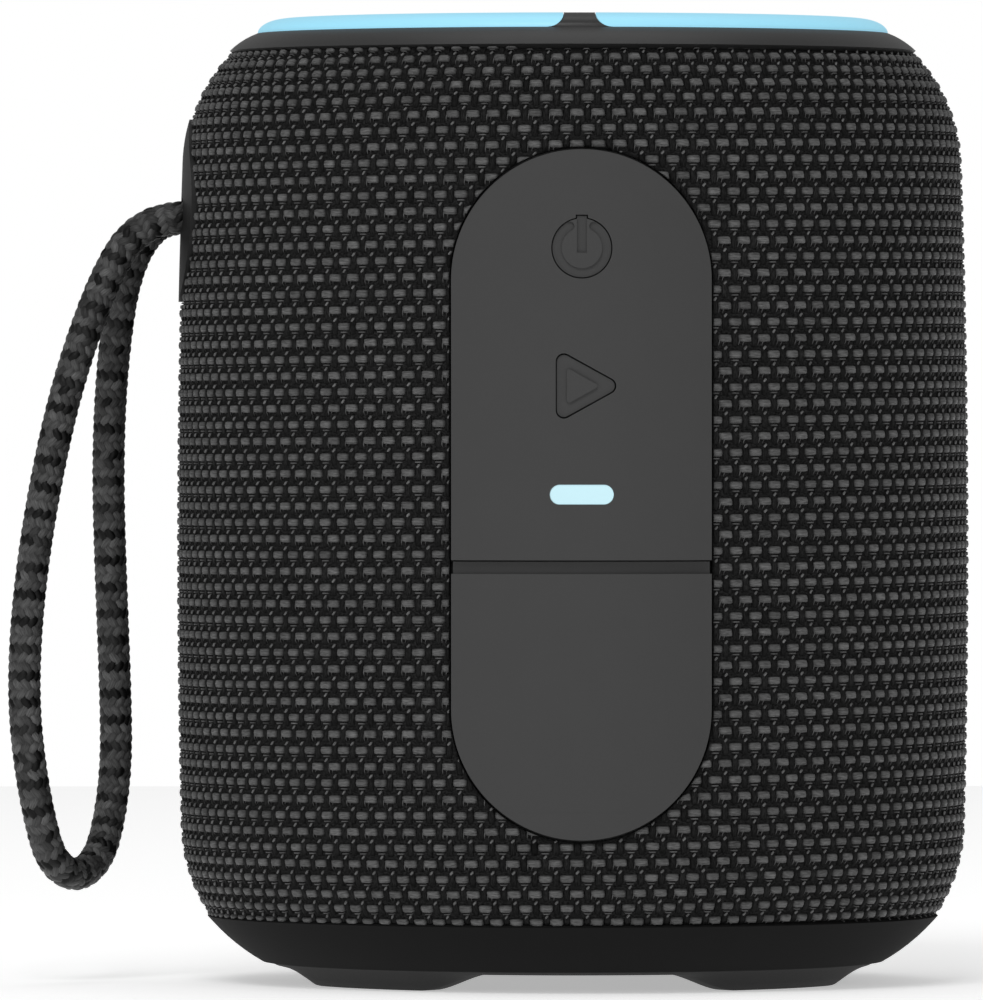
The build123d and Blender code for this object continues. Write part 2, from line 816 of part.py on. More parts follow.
def usb_outline(grow):
    """Flat oval of the USB-C receptacle's shell."""
    return Pos(0, usb_height) * SlotOverall(usb_width + 2 * grow, usb_tall + 2 * grow)


def aux_outline(radius):
    """Circle about the aux jack's axis."""
    return Pos(0, aux_height) * Circle(radius)


def port_well():
    """Open box behind the port cover, with the two ports in its floor."""
    floor_back = well_floor_front - well_wall
    well = forward(well_outline(well_wall), floor_back) & core(cover_back_depth + fit_gap)
    well -= forward(well_outline(0), well_floor_front)
    return well - forward(usb_outline(carrier_gap)) - forward(aux_outline(aux_bore + aux_neck_wall + fit_gap))


def port_board_front():
    """Distance from the axis of the port board's front face."""
    return tub_front + board_gap + front_board_thickness


def usb_c_port():
    """Receptacle shell with its tongue, standing on the port board."""
    shell = forward(usb_outline(0), port_board_front(), well_floor_front)
    shell -= forward(usb_outline(-usb_wall), port_board_front() + port_back_wall)
    tongue = Pos(0, usb_height) * Rectangle(tongue_width, tongue_thickness)
    return shell + forward(tongue, port_board_front() + port_back_wall / 2, well_floor_front - tongue_setback)


def aux_jack():
    """Headphone-size socket on the port board."""
    half = aux_body / 2
    body = block(-half, half, well_wall + fit_gap - well_floor_front, -port_board_front(), aux_height - half,
                 aux_height + half)
    back = port_board_front() + port_back_wall
    neck = forward(aux_outline(aux_bore + aux_neck_wall), back, well_floor_front)
    return body + neck - forward(aux_outline(aux_bore), back)


def port_board():
    """Board that carries the two ports, against the tub's flat front."""
    front = port_board_front()
    return block(-well_half_width, well_half_width, -front, front_board_thickness - front, well_bottom,
                 well_top)


def port_cover():
    """Rubber cover above its bend: plate with a sunk finger lip, sealing rib and two port plugs."""
    plate = forward(pill()) & layer(-panel_proud, cover_back_depth)
    plate = plate & block(-far, far, -far, far, hinge_height, cover_top)
    lip = forward(pill(-groove_inset)) & layer(groove_depth, cover_back_depth)
    plate = plate + (lip & block(-far, far, -far, far, cover_top - overlap, panel_split - split_gap))
    rib_outer = well_outline(-seal_gap)
    rib_inner = well_outline(-seal_gap - seal_rib_thickness)
    rib = forward(rib_outer - rib_inner) & layer(cover_back_depth - overlap, cover_back_depth + seal_rib_depth)
    rib -= block(-far, far, -far, far, 0, well_bottom + seal_rise)
    reach = core(cover_back_depth - overlap)
    usb_plug = forward(usb_outline(-usb_wall - plug_gap), well_floor_front + usb_plug_gap) & reach
    aux_plug = forward(aux_outline(aux_bore - aux_plug_gap), well_floor_front - aux_plug_insertion) & reach
    return plate + rib + usb_plug + aux_plug


def port_cover_anchor():
    """Fixed lower end of the rubber cover, plugged into the carrier."""
    plate = forward(pill()) & layer(-panel_proud, cover_back_depth)
    plate = plate & block(-far, far, -far, far, 0, hinge_height - hinge_gap)
    return plate + (forward(anchor_outline(0)) & layer(0, anchor_depth))


# ---- Base ----
def base_ring():
    """Bottom trim ring, with the foot groove under it and the grille's ledge inside."""
    lip = seam_point(-lip_proud, lower_center, -bottom_seam_angle, -seam_gap)
    root = seam_point(shell_inner_depth + base_root_inset, lower_center, -bottom_seam_angle, -seam_gap)
    shoulder = (lip[0] - base_shoulder[0], lip[1] - base_shoulder[1])
    bulge = ((shoulder[0] + base_edge_radius) / 2 + base_bulge, (shoulder[1] + base_underside) / 2 - base_bulge)
    outside = ThreePointArc(shoulder, bulge, (base_edge_radius, base_underside))
    chamfer = base_top + (root[0] - base_chamfer_gap - tub_foot_radius) * tub_chamfer_height / tub_chamfer
    points = [
        (base_edge_radius, base_underside), (foot_ring_outer + fit_gap, base_underside),
        (foot_ring_outer + fit_gap, base_groove_top), (foot_ring_inner - fit_gap, base_groove_top),
        (foot_ring_inner - fit_gap, base_underside), (base_inner_radius, base_underside),
        (base_inner_radius, grille_ledge), (grille_radius + fit_gap, grille_ledge),
        (grille_radius + fit_gap, base_top), (tub_foot_radius + base_seat_gap, base_top),
        (root[0] - seal_gap, min(chamfer, root[1])), root, lip, shoulder,
    ]
    body = turned([outside] + list(Polyline(*points).edges()))
    shanks = around(base_screw_radius, base_screw_angles, disc(screw_shank + screw_fit, 0, base_top + 1))
    heads = around(base_screw_radius, base_screw_angles,
                   disc(screw_head + fit_gap, 0, base_groove_top + screw_head_height))
    return body - shanks - heads


def foot_ring():
    """Rubber ring in the base's groove, with four curved feet."""
    hoop = ring(foot_ring_outer, foot_ring_inner, foot_height, base_groove_top)
    section = [
        (foot_ring_inner + 0.5, foot_height + 0.3), (foot_ring_outer - 0.5, foot_height + 0.3),
        (foot_ring_outer - 0.9, foot_height - 0.2), (foot_contact_outer + 0.9, 0.8),
        (foot_contact_outer, 0.0), (foot_ring_inner + 1.5, 0.0), (foot_ring_inner + 0.9, 0.6),
    ]
    sweep = foot_end_angle - foot_start_angle
    face = Plane.XZ * make_face(Polyline(*section, close=True).edges())
    foot = revolve(face, Axis.Z, sweep)
    starts = (270 + foot_start_angle, 270 - foot_end_angle, 90 + foot_start_angle, 90 - foot_end_angle)
    return hoop + [Rot(0, 0, start) * foot for start in starts]


def bottom_grille():
    """Perforated metal disc that guards the passive radiator."""
    plate = disc(grille_radius, grille_ledge, grille_ledge + grille_thickness)
    hole = disc(grille_hole_radius, 0, base_top)
    holes = [hole]
    for number in range(1, grille_hole_rows + 1):
        count = 7 * number
        holes += around(grille_hole_pitch * number, [i * 360 / count for i in range(count)], hole)
    return plate - holes


# ---- Enclosure ----
def in_front_of(distance):
    """Everything further forward than a plane in front of the axis."""
    return block(-2 * far, 2 * far, -2 * far, -distance, -far, 2 * far)


def tub():
    """Sealed enclosure with a flat front, floor opening and screw bosses."""
    foot = tub_foot_radius
    outside = turned_polygon((0, base_top), (foot, base_top), (tub_radius, base_top + tub_chamfer_height),
                             (tub_radius, tub_top), (0, tub_top)) - in_front_of(tub_front)
    inner = tub_radius - tub_wall
    floor_radius = foot - tub_wall * 0.7
    inside = turned_polygon((0, tub_floor_top), (floor_radius, tub_floor_top),
                            (inner, tub_floor_top + tub_chamfer_height), (inner, tub_top + 1),
                            (0, tub_top + 1)) - in_front_of(tub_inner_front)
    body = outside - inside - disc(radiator_hole, 0, tub_floor_top + 1)
    top_bosses = around(baffle_screw_radius, baffle_screw_angles,
                        disc(boss_radius, tub_top - boss_drop, tub_top))
    base_tip = base_groove_top + screw_head_height + screw_length
    floor_bosses = around(base_screw_radius, base_screw_angles,
                          disc(boss_radius, tub_floor_top - 1, base_tip + boss_tip))
    bores = around(baffle_screw_radius, baffle_screw_angles,
                   disc(screw_shank + screw_fit, baffle_top - screw_length, tub_top + 1))
    bores += around(base_screw_radius, base_screw_angles, disc(screw_shank + screw_fit, 0, base_tip))
    return body + top_bosses + floor_bosses - bores


def baffle_gasket():
    """Flat seal between the tub's rim and the baffle."""
    rim = disc(tub_radius - board_gap, tub_top, baffle_bottom) - in_front_of(tub_front - board_gap)
    window = disc(baffle_screw_radius + boss_radius + fit_gap, 0, 2 * far) - in_front_of(tub_front - gasket_rim)
    return rim - window


def driver_baffle():
    """Plate that closes the tub and carries the driver."""
    plate = disc(tub_radius, baffle_bottom, baffle_top) - in_front_of(tub_front)
    plate -= disc(driver_hole, 0, 2 * far)
    return plate - around(baffle_screw_radius, baffle_screw_angles,
                          disc(screw_shank + screw_hole_gap, 0, 2 * far))


def case_screws():
    """The case's screws: deck to posts, baffle to tub, base to tub, and main board to tray."""
    screws = around(post_circle, post_angles, screw(deck_top - screw_head_height))
    screws += around(baffle_screw_radius, baffle_screw_angles, screw(baffle_top))
    screws += around(base_screw_radius, base_screw_angles, screw(base_groove_top + screw_head_height, 1))
    board_seat = main_board_height + main_board_thickness
    return screws + [Pos(x, y, 0) * screw(board_seat) for x, y in tray_posts()]


# ---- Passive radiator ----
def radiator_frame():
    """Ring that holds the radiator's surround on the tub's floor."""
    return ring(radiator_frame_outer, radiator_frame_inner, tub_floor_top,
                tub_floor_top + radiator_frame_thickness)


def roll_surround(inner, outer, base, inner_land, outer_land):
    """Turned surround: lands glued to the moving plate and to the frame, a half roll between."""
    center = ((inner + outer) / 2, base + rubber_thickness / 2)
    radius = (outer - inner) / 2
    bend = asin(rubber_thickness / 2 / radius)
    inner_bend = asin(rubber_thickness / 2 / (radius - rubber_thickness))
    over = arc_through(center, radius, pi - bend, bend)
    under = arc_through(center, radius - rubber_thickness, pi + inner_bend, -inner_bend)
    top = base + rubber_thickness
    left = Polyline(over @ 0, (inner - inner_land, top), (inner - inner_land, base), under @ 0)
    right = Polyline(over @ 1, (outer + outer_land, top), (outer + outer_land, base), under @ 1)
    return turned([over, under] + list(left.edges()) + list(right.edges()))


def radiator_surround():
    """Rubber roll between the radiator's plate and its frame."""
    base = tub_floor_top + radiator_frame_thickness
    return roll_surround(radiator_plate_radius + roll_gap, radiator_frame_inner + roll_gap, base, plate_land,
                         frame_land)


def radiator_plate():
    """Stiff moving plate of the passive radiator."""
    top = tub_floor_top + radiator_frame_thickness - fit_gap
    return disc(radiator_plate_radius, top - radiator_plate_thickness, top)


def radiator_weight():
    """Steel disc that tunes the passive radiator."""
    low = tub_floor_top + radiator_frame_thickness - fit_gap
    return disc(radiator_weight_radius, low, low + radiator_weight_thickness)


# ---- Driver ----
def driver_frame():
    """Pressed basket with its mounting flange, open between six arms."""
    low = basket_low
    floor_top = low + basket_floor
    neck = basket_neck
    inner = coil_outer + coil_basket_gap
    flange_top = baffle_top + driver_flange_thickness
    section = [
        (inner, low), (basket_floor_radius, low), (neck, baffle_top),
        (driver_flange_radius, baffle_top), (driver_flange_radius, flange_top),
        (neck - basket_wall, flange_top), (neck - basket_wall, baffle_top),
        (basket_floor_radius - basket_wall, floor_top), (inner, floor_top),
    ]
    window = block(basket_floor_radius + basket_window_margin, driver_hole, -basket_window_half,
                   basket_window_half, low + basket_window_low, baffle_top - basket_window_high)
    return turned_polygon(*section) - [Rot(0, 0, 60 * i + 30) * window for i in range(6)]


def driver_top_plate():
    """Steel plate on the magnet's top."""
    return ring(magnet_radius - steel_inset, coil_outer + coil_gap, magnet_top, basket_low)


def driver_magnet():
    """Ferrite ring magnet."""
    return ring(magnet_radius, coil_outer + magnet_bore_gap, magnet_top - magnet_height, magnet_top)


def driver_yoke():
    """Back plate and centre pole, one turned steel piece."""
    back = magnet_top - magnet_height
    return disc(magnet_radius - steel_inset, back - yoke_thickness, back) + disc(pole_radius, back, basket_low)


def voice_coil():
    """Coil and former, in the magnet's gap."""
    return ring(coil_outer, coil_inner, basket_low - coil_half_height, basket_low + coil_half_height)


def driver_cone():
    """Moving cone, glued round the coil former."""
    return turned_polygon((cone_neck, cone_neck_top - cone_neck_thickness),
                          (cone_radius, cone_rim - cone_rim_thickness), (cone_radius, cone_rim),
                          (cone_neck, cone_neck_top))


def dust_cap():
    """Shallow dome over the coil, seated on the cone."""
    rim = coil_outer + dust_cap_overlap
    slope = (cone_rim - cone_neck_top) / (cone_radius - cone_neck)
    seat = cone_neck_top + (rim - cone_neck) * slope + skin_gap
    radius = (rim**2 + dust_cap_rise**2) / (2 * dust_cap_rise)
    center = (0, seat + dust_cap_rise - radius)
    thin = radius - dust_cap_thickness
    outer = arc_through(center, radius, asin((radius - dust_cap_rise) / radius), pi / 2)
    inner = arc_through(center, thin, asin((radius - dust_cap_rise) / thin), pi / 2)
    return turned([outer, inner, Line(outer @ 0, inner @ 0), Line(outer @ 1, inner @ 1)])


def driver_surround():
    """Rubber roll round the cone, with a land on the flange."""
    base = baffle_top + driver_flange_thickness
    return roll_surround(surround_inner, surround_inner + 2 * surround_roll, base,
                         surround_inner - cone_radius + cone_land, flange_land)


def driver_spider():
    """Centring disc between the coil and the basket."""
    low = basket_low + spider_rise
    slope = (basket_neck - basket_floor_radius) / basket_depth
    outer = basket_floor_radius - basket_wall + slope * (spider_rise - basket_floor)
    return ring(outer, coil_outer + fit_gap, low, low + rubber_thickness)


# ---- Battery and main board ----
def battery_cells():
    """Two cells side by side along X, in the tray."""
    axis_height = tray_height + tray_wall + cell_radius + fit_gap
    cell = Rot(0, 90, 0) * Cylinder(cell_radius, cell_length)
    cell = fillet(cell.edges() | GeomType.CIRCLE, cell_fillet)
    return [Pos(0, y, axis_height) * cell for y in (-cell_pitch / 2, cell_pitch / 2)]


def tray_posts():
    """Centres of the tray's four posts."""
    x = cell_length / 2 + cell_end_gap + tray_wall + post_size / 2
    return [(side_x, side_y) for side_x in (-x, x) for side_y in (-tray_post_y, tray_post_y)]


def battery_tray():
    """Open tray on four posts, which also carry the main board."""
    half_x = cell_length / 2 + cell_end_gap
    half_y = cell_pitch / 2 + cell_radius + cell_side_gap
    wall_top = tray_height + tray_wall + 1.2 * cell_radius
    tray = block(-half_x - tray_wall, half_x + tray_wall, -half_y - tray_wall, half_y + tray_wall, tray_height,
                 wall_top)
    tray -= block(-half_x, half_x, -half_y, half_y, tray_height + tray_wall, wall_top + 1)
    half = post_size / 2
    for x, y in tray_posts():
        tray += block(x - half - fit_gap, x + half + fit_gap, y - half, y + half, tub_floor_top,
                      main_board_height)
        tray -= disc(screw_shank + screw_fit, main_board_height - screw_length, main_board_height + 1, x, y)
    return tray


def main_board():
    """Round main board with a flat front edge, on the tray's posts."""
    board = disc(main_board_radius, main_board_height, main_board_height + main_board_thickness)
    board -= in_front_of(tub_inner_front - 1)
    return board - [disc(screw_shank + screw_hole_gap, 0, far, x, y) for x, y in tray_posts()]


def on_board(x, y, width, depth, height):
    """Block-shaped component on the main board."""
    base = main_board_height + main_board_thickness
    return block(x - width / 2, x + width / 2, y - depth / 2, y + depth / 2, base, base + height)


def board_chips():
    """Processor, amplifier and charger chips."""
    return [on_board(-6, -4, 8, 8, 1.0), on_board(8, -6, 6.5, 6.5, 1.0), on_board(9, 8, 5, 5, 0.9)]


def radio_module():
    """Radio module with its own shield can."""
    return on_board(-9, 14, 13, 10, 2.4)


def board_inductors():
    """Power inductors beside the amplifier."""
    return [on_board(x, -16, 6.5, 6.5, 3.2) for x in (0, 9, 18)]


def board_capacitors():
    """Electrolytic capacitors, outside the magnet."""
    base = main_board_height + main_board_thickness
    spots = ((22, 14), (14, 22), (-23, -14))
    return [disc(3.15, base, base + 7.0, x, y) for x, y in spots]


def board_connectors():
    """Plug-in headers for the leads."""
    return [
        on_board(-22, 4, 5, 7.5, header_height), on_board(0, 27, 9, 4, header_height),
        on_board(-8, -23, 10, 3.6, 3.0),
    ]


def lead(points, diameter):
    """Insulated wire along straight runs with tangent bends."""
    path = FilletPolyline(*points, radius=2 * diameter)
    start = Plane(origin=path @ 0, z_dir=path % 0)
    return sweep(start * Circle(diameter / 2), path=path)


def driver_leads():
    """Two wires from the board's header up to the driver's basket."""
    top = main_board_height + main_board_thickness + header_height
    rise = basket_low + lead_diameter
    return [
        lead([(-22, y, top), (-22, y, top + 8), (-20, y, rise - 3), (-20, y, rise)], lead_diameter)
        for y in (2.6, 5.4)
    ]


# ---- Lanyard ----
def cord_end():
    """Distance from the axis of the stem's inner end, where both strands meet the crimp."""
    return barrel_radius(strap_height) - strap_stem_length


def strap_plate():
    """Round disc, flush in the fabric, with a stem through the shell and two cord holes."""
    outline = Pos(-body_radius, 0, strap_height) * Rot(0, 90, 0) * Cylinder(strap_disc_radius, body_radius / 2)
    face = outline & layer(-strap_proud, shell_outer_depth - skin_gap)
    stem = Pos(-cord_end() - far / 2, 0, strap_height) * Rot(0, 90, 0) * Cylinder(strap_stem_radius, far)
    stem = stem & core(fabric_thickness / 2)
    plate = face + stem
    for y in (-cord_spread, cord_spread):
        plate -= Pos(-body_radius, y, cord_height) * Rot(0, 90, 0) * Cylinder(cord_hole_radius, body_radius)
    return plate


def strap_nut():
    """Ring that holds the stem behind the shell."""
    tube = Pos(-cord_end() - nut_thickness / 2, 0, strap_height) * Rot(0, 90, 0)
    nut = tube * Cylinder(strap_disc_radius, nut_thickness) - tube * Cylinder(strap_stem_radius + fit_gap, far)
    return nut & core(shell_inner_depth + fit_gap)


def cord_crimp():
    """Metal crimp that both cord ends run into."""
    outer = cord_end()
    half = cord_spread + crimp_margin
    return block(-outer, crimp_length - outer, -half, half, cord_height - crimp_half_height,
                 cord_height + crimp_half_height)


def cord_points():
    """The lanyard's route: out of the disc, down the front strand, round and up the rear strand."""
    start = (-cord_end(), -cord_spread, cord_height)
    finish = (-cord_end(), cord_spread, cord_height)
    loop = [
        (-43.6, -cord_spread, cord_height), (-47.9, -2.9, 81.2), (-50.6, -3.6, 76.6), (-53.0, -4.5, 70.4),
        (-55.2, -5.5, 63.2), (-57.0, -6.5, 55.0), (-58.4, -7.1, 46.6), (-59.3, -7.4, 38.2),
        (-59.5, -7.3, 30.4), (-58.9, -7.2, 24.0), (-57.9, -6.2, 18.2), (-56.6, -4.1, 13.2),
        (-53.9, 0.3, 11.2), (-51.4, 4.5, 13.3), (-50.2, 6.5, 18.2), (-49.6, 7.2, 24.0), (-49.7, 7.4, 31.0),
        (-50.0, 7.3, 38.8), (-50.3, 7.1, 46.8), (-50.5, 6.5, 54.8), (-50.3, 5.6, 62.6), (-49.7, 4.6, 69.8),
        (-48.7, 3.6, 76.2), (-46.7, 2.9, 80.9), (-43.7, cord_spread, cord_height),
    ]
    return [start] + loop + [finish]


def bend_radii(points):
    """Radius of each corner's arc: as large as the shorter of its two runs allows."""
    radii = []
    for before, corner, after in zip(points, points[1:], points[2:]):
        arriving = Vector(*corner) - Vector(*before)
        leaving = Vector(*after) - Vector(*corner)
        turn = radians(arriving.get_angle(leaving))
        radii.append(0.45 * min(arriving.length, leaving.length) / tan(turn / 2))
    return radii


def lanyard_cord():
    """Braided cord as a plain tube: straight runs joined by tangent arcs."""
    points = cord_points()
    radii = bend_radii(points)
    path = FilletPolyline(*points, radius=radii)
    start = Plane(origin=path @ 0, z_dir=path % 0)
    tube = sweep(start * Circle(cord_diameter / 2), path=path)
    section = pi * cord_diameter**2 / 4
    print("cord bend radii", [round(radius, 1) for radius in radii])
    print("cord length", round(path.length, 2), "volume over section", round(tube.volume / section, 2))
    return tube


NODES = {
    "grille_fabric": grille_fabric,
    "grille_shell": grille_shell,
    "top_trim_ring": top_trim_ring,
    "light_ring_left": lambda: light_ring(-1),
    "light_ring_right": lambda: light_ring(1),
    "top_cap": top_cap,
    "volume_up_key": lambda: volume_key(volume_key_offset, True),
    "volume_down_key": lambda: volume_key(-volume_key_offset, False),
    "top_board": top_board,
    "ring_lights": ring_lights,
    "top_switches": top_switches,
    "upper_frame": upper_frame,
    "diffuser_cone": diffuser_cone,
    "control_panel": control_panel,
    "power_key": power_key,
    "play_key": play_key,
    "status_lens": status_lens,
    "panel_carrier": panel_carrier,
    "button_board": button_board,
    "front_switches": front_switches,
    "status_light": status_light,
    "port_cover": port_cover,
    "port_cover_anchor": port_cover_anchor,
    "port_well": port_well,
    "port_board": port_board,
    "usb_c_port": usb_c_port,
    "aux_jack": aux_jack,
    "base_ring": base_ring,
    "foot_ring": foot_ring,
    "bottom_grille": bottom_grille,
    "tub": tub,
    "baffle_gasket": baffle_gasket,
    "driver_baffle": driver_baffle,
    "case_screws": case_screws,
    "radiator_frame": radiator_frame,
    "radiator_surround": radiator_surround,
    "radiator_plate": radiator_plate,
    "radiator_weight": radiator_weight,
    "driver_frame": driver_frame,
    "driver_top_plate": driver_top_plate,
    "driver_magnet": driver_magnet,
    "driver_yoke": driver_yoke,
    "voice_coil": voice_coil,
    "driver_cone": driver_cone,
    "dust_cap": dust_cap,
    "driver_surround": driver_surround,
    "driver_spider": driver_spider,
    "battery_cells": battery_cells,
    "battery_tray": battery_tray,
    "main_board": main_board,
    "board_chips": board_chips,
    "radio_module": radio_module,
    "board_inductors": board_inductors,
    "board_capacitors": board_capacitors,
    "board_connectors": board_connectors,
    "driver_leads": driver_leads,
    "strap_plate": strap_plate,
    "strap_nut": strap_nut,
    "cord_crimp": cord_crimp,
    "lanyard_cord": lanyard_cord,
}


def solids_of(shape):
    """Every solid in a shape or a list of shapes."""
    if isinstance(shape, list):
        return [solid for item in shape for solid in solids_of(item)]
    return list(shape.solids())


def main():
    """Build every sub-part and write one STEP file for each."""
    os.makedirs("parts", exist_ok=True)
    for name, build in NODES.items():
        solids = solids_of(build())
        export_step(solids[0] if len(solids) == 1 else Compound(children=solids), f"parts/{name}.step")


if __name__ == "__main__":
    main()
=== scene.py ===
"""Looks of the shower speaker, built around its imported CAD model.

The cloth, the lanyard, the foot ring, the web at the port cover's bend and the contacts inside the
ports are made here. Every other piece is the CAD node itself, dressed in a finish named for its real
material. Lengths are in metres, and MM turns the millimetres of the fields into them.
"""

from __future__ import annotations

import logging
import math
from dataclasses import dataclass, field
from enum import Enum
from typing import Any, Mapping, Sequence

import bpy
import numpy as np
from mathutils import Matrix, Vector


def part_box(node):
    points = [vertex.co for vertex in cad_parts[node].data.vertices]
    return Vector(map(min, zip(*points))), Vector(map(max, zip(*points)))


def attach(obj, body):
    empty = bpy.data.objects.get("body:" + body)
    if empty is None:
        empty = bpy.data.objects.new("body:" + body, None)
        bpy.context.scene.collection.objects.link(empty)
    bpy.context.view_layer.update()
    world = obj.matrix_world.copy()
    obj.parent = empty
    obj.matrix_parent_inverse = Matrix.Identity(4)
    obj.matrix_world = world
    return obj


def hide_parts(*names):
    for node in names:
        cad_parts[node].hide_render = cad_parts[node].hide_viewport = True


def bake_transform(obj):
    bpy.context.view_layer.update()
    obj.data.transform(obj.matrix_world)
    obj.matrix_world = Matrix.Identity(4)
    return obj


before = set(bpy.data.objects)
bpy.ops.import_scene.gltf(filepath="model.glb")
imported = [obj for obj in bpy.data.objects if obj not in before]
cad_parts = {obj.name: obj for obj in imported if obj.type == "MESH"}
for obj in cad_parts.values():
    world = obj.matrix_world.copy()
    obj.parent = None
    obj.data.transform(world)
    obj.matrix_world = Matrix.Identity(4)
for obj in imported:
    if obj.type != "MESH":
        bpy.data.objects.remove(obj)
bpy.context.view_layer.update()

MM = 0.001
CLOUD_MM = 4.0  # size of the patches in which a pigment wanders
GLOSS_SPREAD = 0.06  # how far the roughness strays either way
WEB_CREASE = math.radians(40)
FOOT_CREASE = math.radians(35)
log = logging.getLogger("speaker")


# ---------------------------------------------------------------- small helpers


def linear(hex_colour: str) -> tuple[float, float, float, float]:
    """Turns an sRGB hex colour into the linear values that shaders take.

    Args:
        hex_colour: Six hex digits after a hash sign.

    Returns:
        Red, green, blue and an alpha of one.
    """
    values = [int(hex_colour[i : i + 2], 16) / 255 for i in (1, 3, 5)]
    red, green, blue = [v / 12.92 if v <= 0.04045 else ((v + 0.055) / 1.055) ** 2.4 for v in values]
    return red, green, blue, 1.0


def add_node(
    material: bpy.types.Material | bpy.types.World,
    kind: str,
    settings: Mapping[str | int, Any] | None = None,
    links: Mapping[str | int, bpy.types.NodeSocket] | None = None,
) -> bpy.types.Node:
    """Adds one shader node with its settings and links.

    Args:
        material: The material or world whose tree takes the node.
        kind: The node's type name.
        settings: Values for its sockets, by name or number, or for its properties.
        links: The sockets that feed its inputs.

    Returns:
        The new node.
    """
    tree = material.node_tree
    node = tree.nodes.new(kind)
    for name, value in (settings or {}).items():
        if isinstance(name, str) and name not in node.inputs:
            setattr(node, name, value)
        else:
            node.inputs[name].default_value = value
    for name, source in (links or {}).items():
        tree.links.new(source, node.inputs[name])
    return node


def mesh_object(
    name: str,
    points: np.ndarray,
    faces: np.ndarray,
    uv: np.ndarray | None = None,
    tone: np.ndarray | None = None,
) -> bpy.types.Object:
    """Makes a smooth-shaded mesh object from arrays.

    Args:
        name: The piece's name.
        points: Vertex places, one row each.
        faces: Quads as rows of four vertex numbers, outward side anticlockwise.
        uv: A pair for each vertex, in millimetres along and across the yarn.
        tone: A number for each vertex, how light or dark its yarn is dyed, with the painted shade where it
            dips multiplied in.

    Returns:
        The object, linked to the scene.
    """
    mesh = bpy.data.meshes.new(name)
    mesh.vertices.add(len(points))
    mesh.vertices.foreach_set("co", points.astype(np.float32).ravel())
    mesh.loops.add(faces.size)
    mesh.loops.foreach_set("vertex_index", faces.astype(np.int32).ravel())
    mesh.polygons.add(len(faces))
    mesh.polygons.foreach_set("loop_start", np.arange(0, faces.size, faces.shape[1], dtype=np.int32))
    mesh.update(calc_edges=True)
    mesh.polygons.foreach_set("use_smooth", np.ones(len(faces), bool))
    if uv is not None:
        layer = mesh.uv_layers.new(name="yarn")
        layer.data.foreach_set("uv", uv[faces.ravel()].astype(np.float32).ravel())
    if tone is not None:
        attribute = mesh.attributes.new("tone", "FLOAT", "POINT")
        attribute.data.foreach_set("value", tone.astype(np.float32))
    mesh.validate()
    piece = bpy.data.objects.new(name, mesh)
    bpy.context.scene.collection.objects.link(piece)
    return piece


def dress(piece: bpy.types.Object, material: bpy.types.Material) -> None:
    """Gives a piece one material in place of those it has."""
    piece.data.materials.clear()
    piece.data.materials.append(material)


# ---------------------------------------------------------------- finishes


@dataclass(frozen=True)
class Moulded:
    """A moulded or pressed surface: one pigment, a fine grain and slightly uneven gloss.

    Attributes:
        name: The real material and how it was made.
        colour: Its pigment as sRGB hex.
        roughness: Middle roughness.
        grain_mm: Size of the grain that the mould left.
        relief_mm: Depth of the grain.
        mottle: Share by which the colour wanders.
        metallic: One for bare metal.
        ior: Index of refraction.
        specular: Strength of the surface reflection, below a half where the texture scatters it.
    """

    name: str
    colour: str
    roughness: float = 0.5
    grain_mm: float = 0.25
    relief_mm: float = 0.01
    mottle: float = 0.05
    metallic: float = 0.0
    ior: float = 1.5
    specular: float = 0.5

    def surface(self, material: bpy.types.Material) -> bpy.types.Node:
        """Lays the pigment, the grain and the gloss.

        Args:
            material: The material to fill.

        Returns:
            Its Principled node.
        """
        place = add_node(material, "ShaderNodeTexCoord").outputs["Object"]
        cloud = add_node(
            material, "ShaderNodeTexNoise", {"Scale": 1 / CLOUD_MM / MM, "Detail": 3.0}, {"Vector": place}
        )
        grain_scale = 1 / (self.grain_mm * MM)
        grain = add_node(
            material, "ShaderNodeTexNoise", {"Scale": grain_scale, "Detail": 2.0}, {"Vector": place}
        )
        dark, light = [
            tuple(c * k for c in linear(self.colour)[:3]) + (1.0,)
            for k in (1 - self.mottle, 1 + self.mottle)
        ]
        pigment = add_node(
            material, "ShaderNodeMix", {"data_type": "RGBA", 6: dark, 7: light}, {0: cloud.outputs["Fac"]}
        )
        gloss = add_node(
            material,
            "ShaderNodeMapRange",
            {
                "To Min": max(self.roughness - GLOSS_SPREAD, 0.02),
                "To Max": min(self.roughness + GLOSS_SPREAD, 1.0),
            },
            {"Value": grain.outputs["Fac"]},
        )
        bump = add_node(
            material,
            "ShaderNodeBump",
            {"Strength": 1.0, "Distance": self.relief_mm * MM},
            {"Height": grain.outputs["Fac"]},
        )
        return add_node(
            material,
            "ShaderNodeBsdfPrincipled",
            {"Metallic": self.metallic, "IOR": self.ior, "Specular IOR Level": self.specular},
            {
                "Base Color": pigment.outputs[2],
                "Roughness": gloss.outputs["Result"],
                "Normal": bump.outputs["Normal"],
            },
        )

    def material(self) -> bpy.types.Material:
        """Makes the material, once for each finish.

        Returns:
            The material.
        """
        known = bpy.data.materials.get(self.name)
        if known:
            return known
        material = bpy.data.materials.new(self.name)
        material.use_nodes = True
        material.node_tree.nodes.clear()
        shader = self.surface(material)
        add_node(material, "ShaderNodeOutputMaterial", {}, {"Surface": shader.outputs[0]})
        return material


@dataclass(frozen=True)
class Lit(Moulded):
    """A frosted light guide, lit from behind.

    Attributes:
        glow: Strength of the light that comes through.
        glow_colour: Its colour as sRGB hex.
    """

    glow: float = 1.0
    glow_colour: str = "#a5dff3"

    def surface(self, material: bpy.types.Material) -> bpy.types.Node:
        """Adds an even glow to the frosted surface."""
        shader = super().surface(material)
        shader.inputs["Emission Color"].default_value = linear(self.glow_colour)
        shader.inputs["Emission Strength"].default_value = self.glow
        return shader


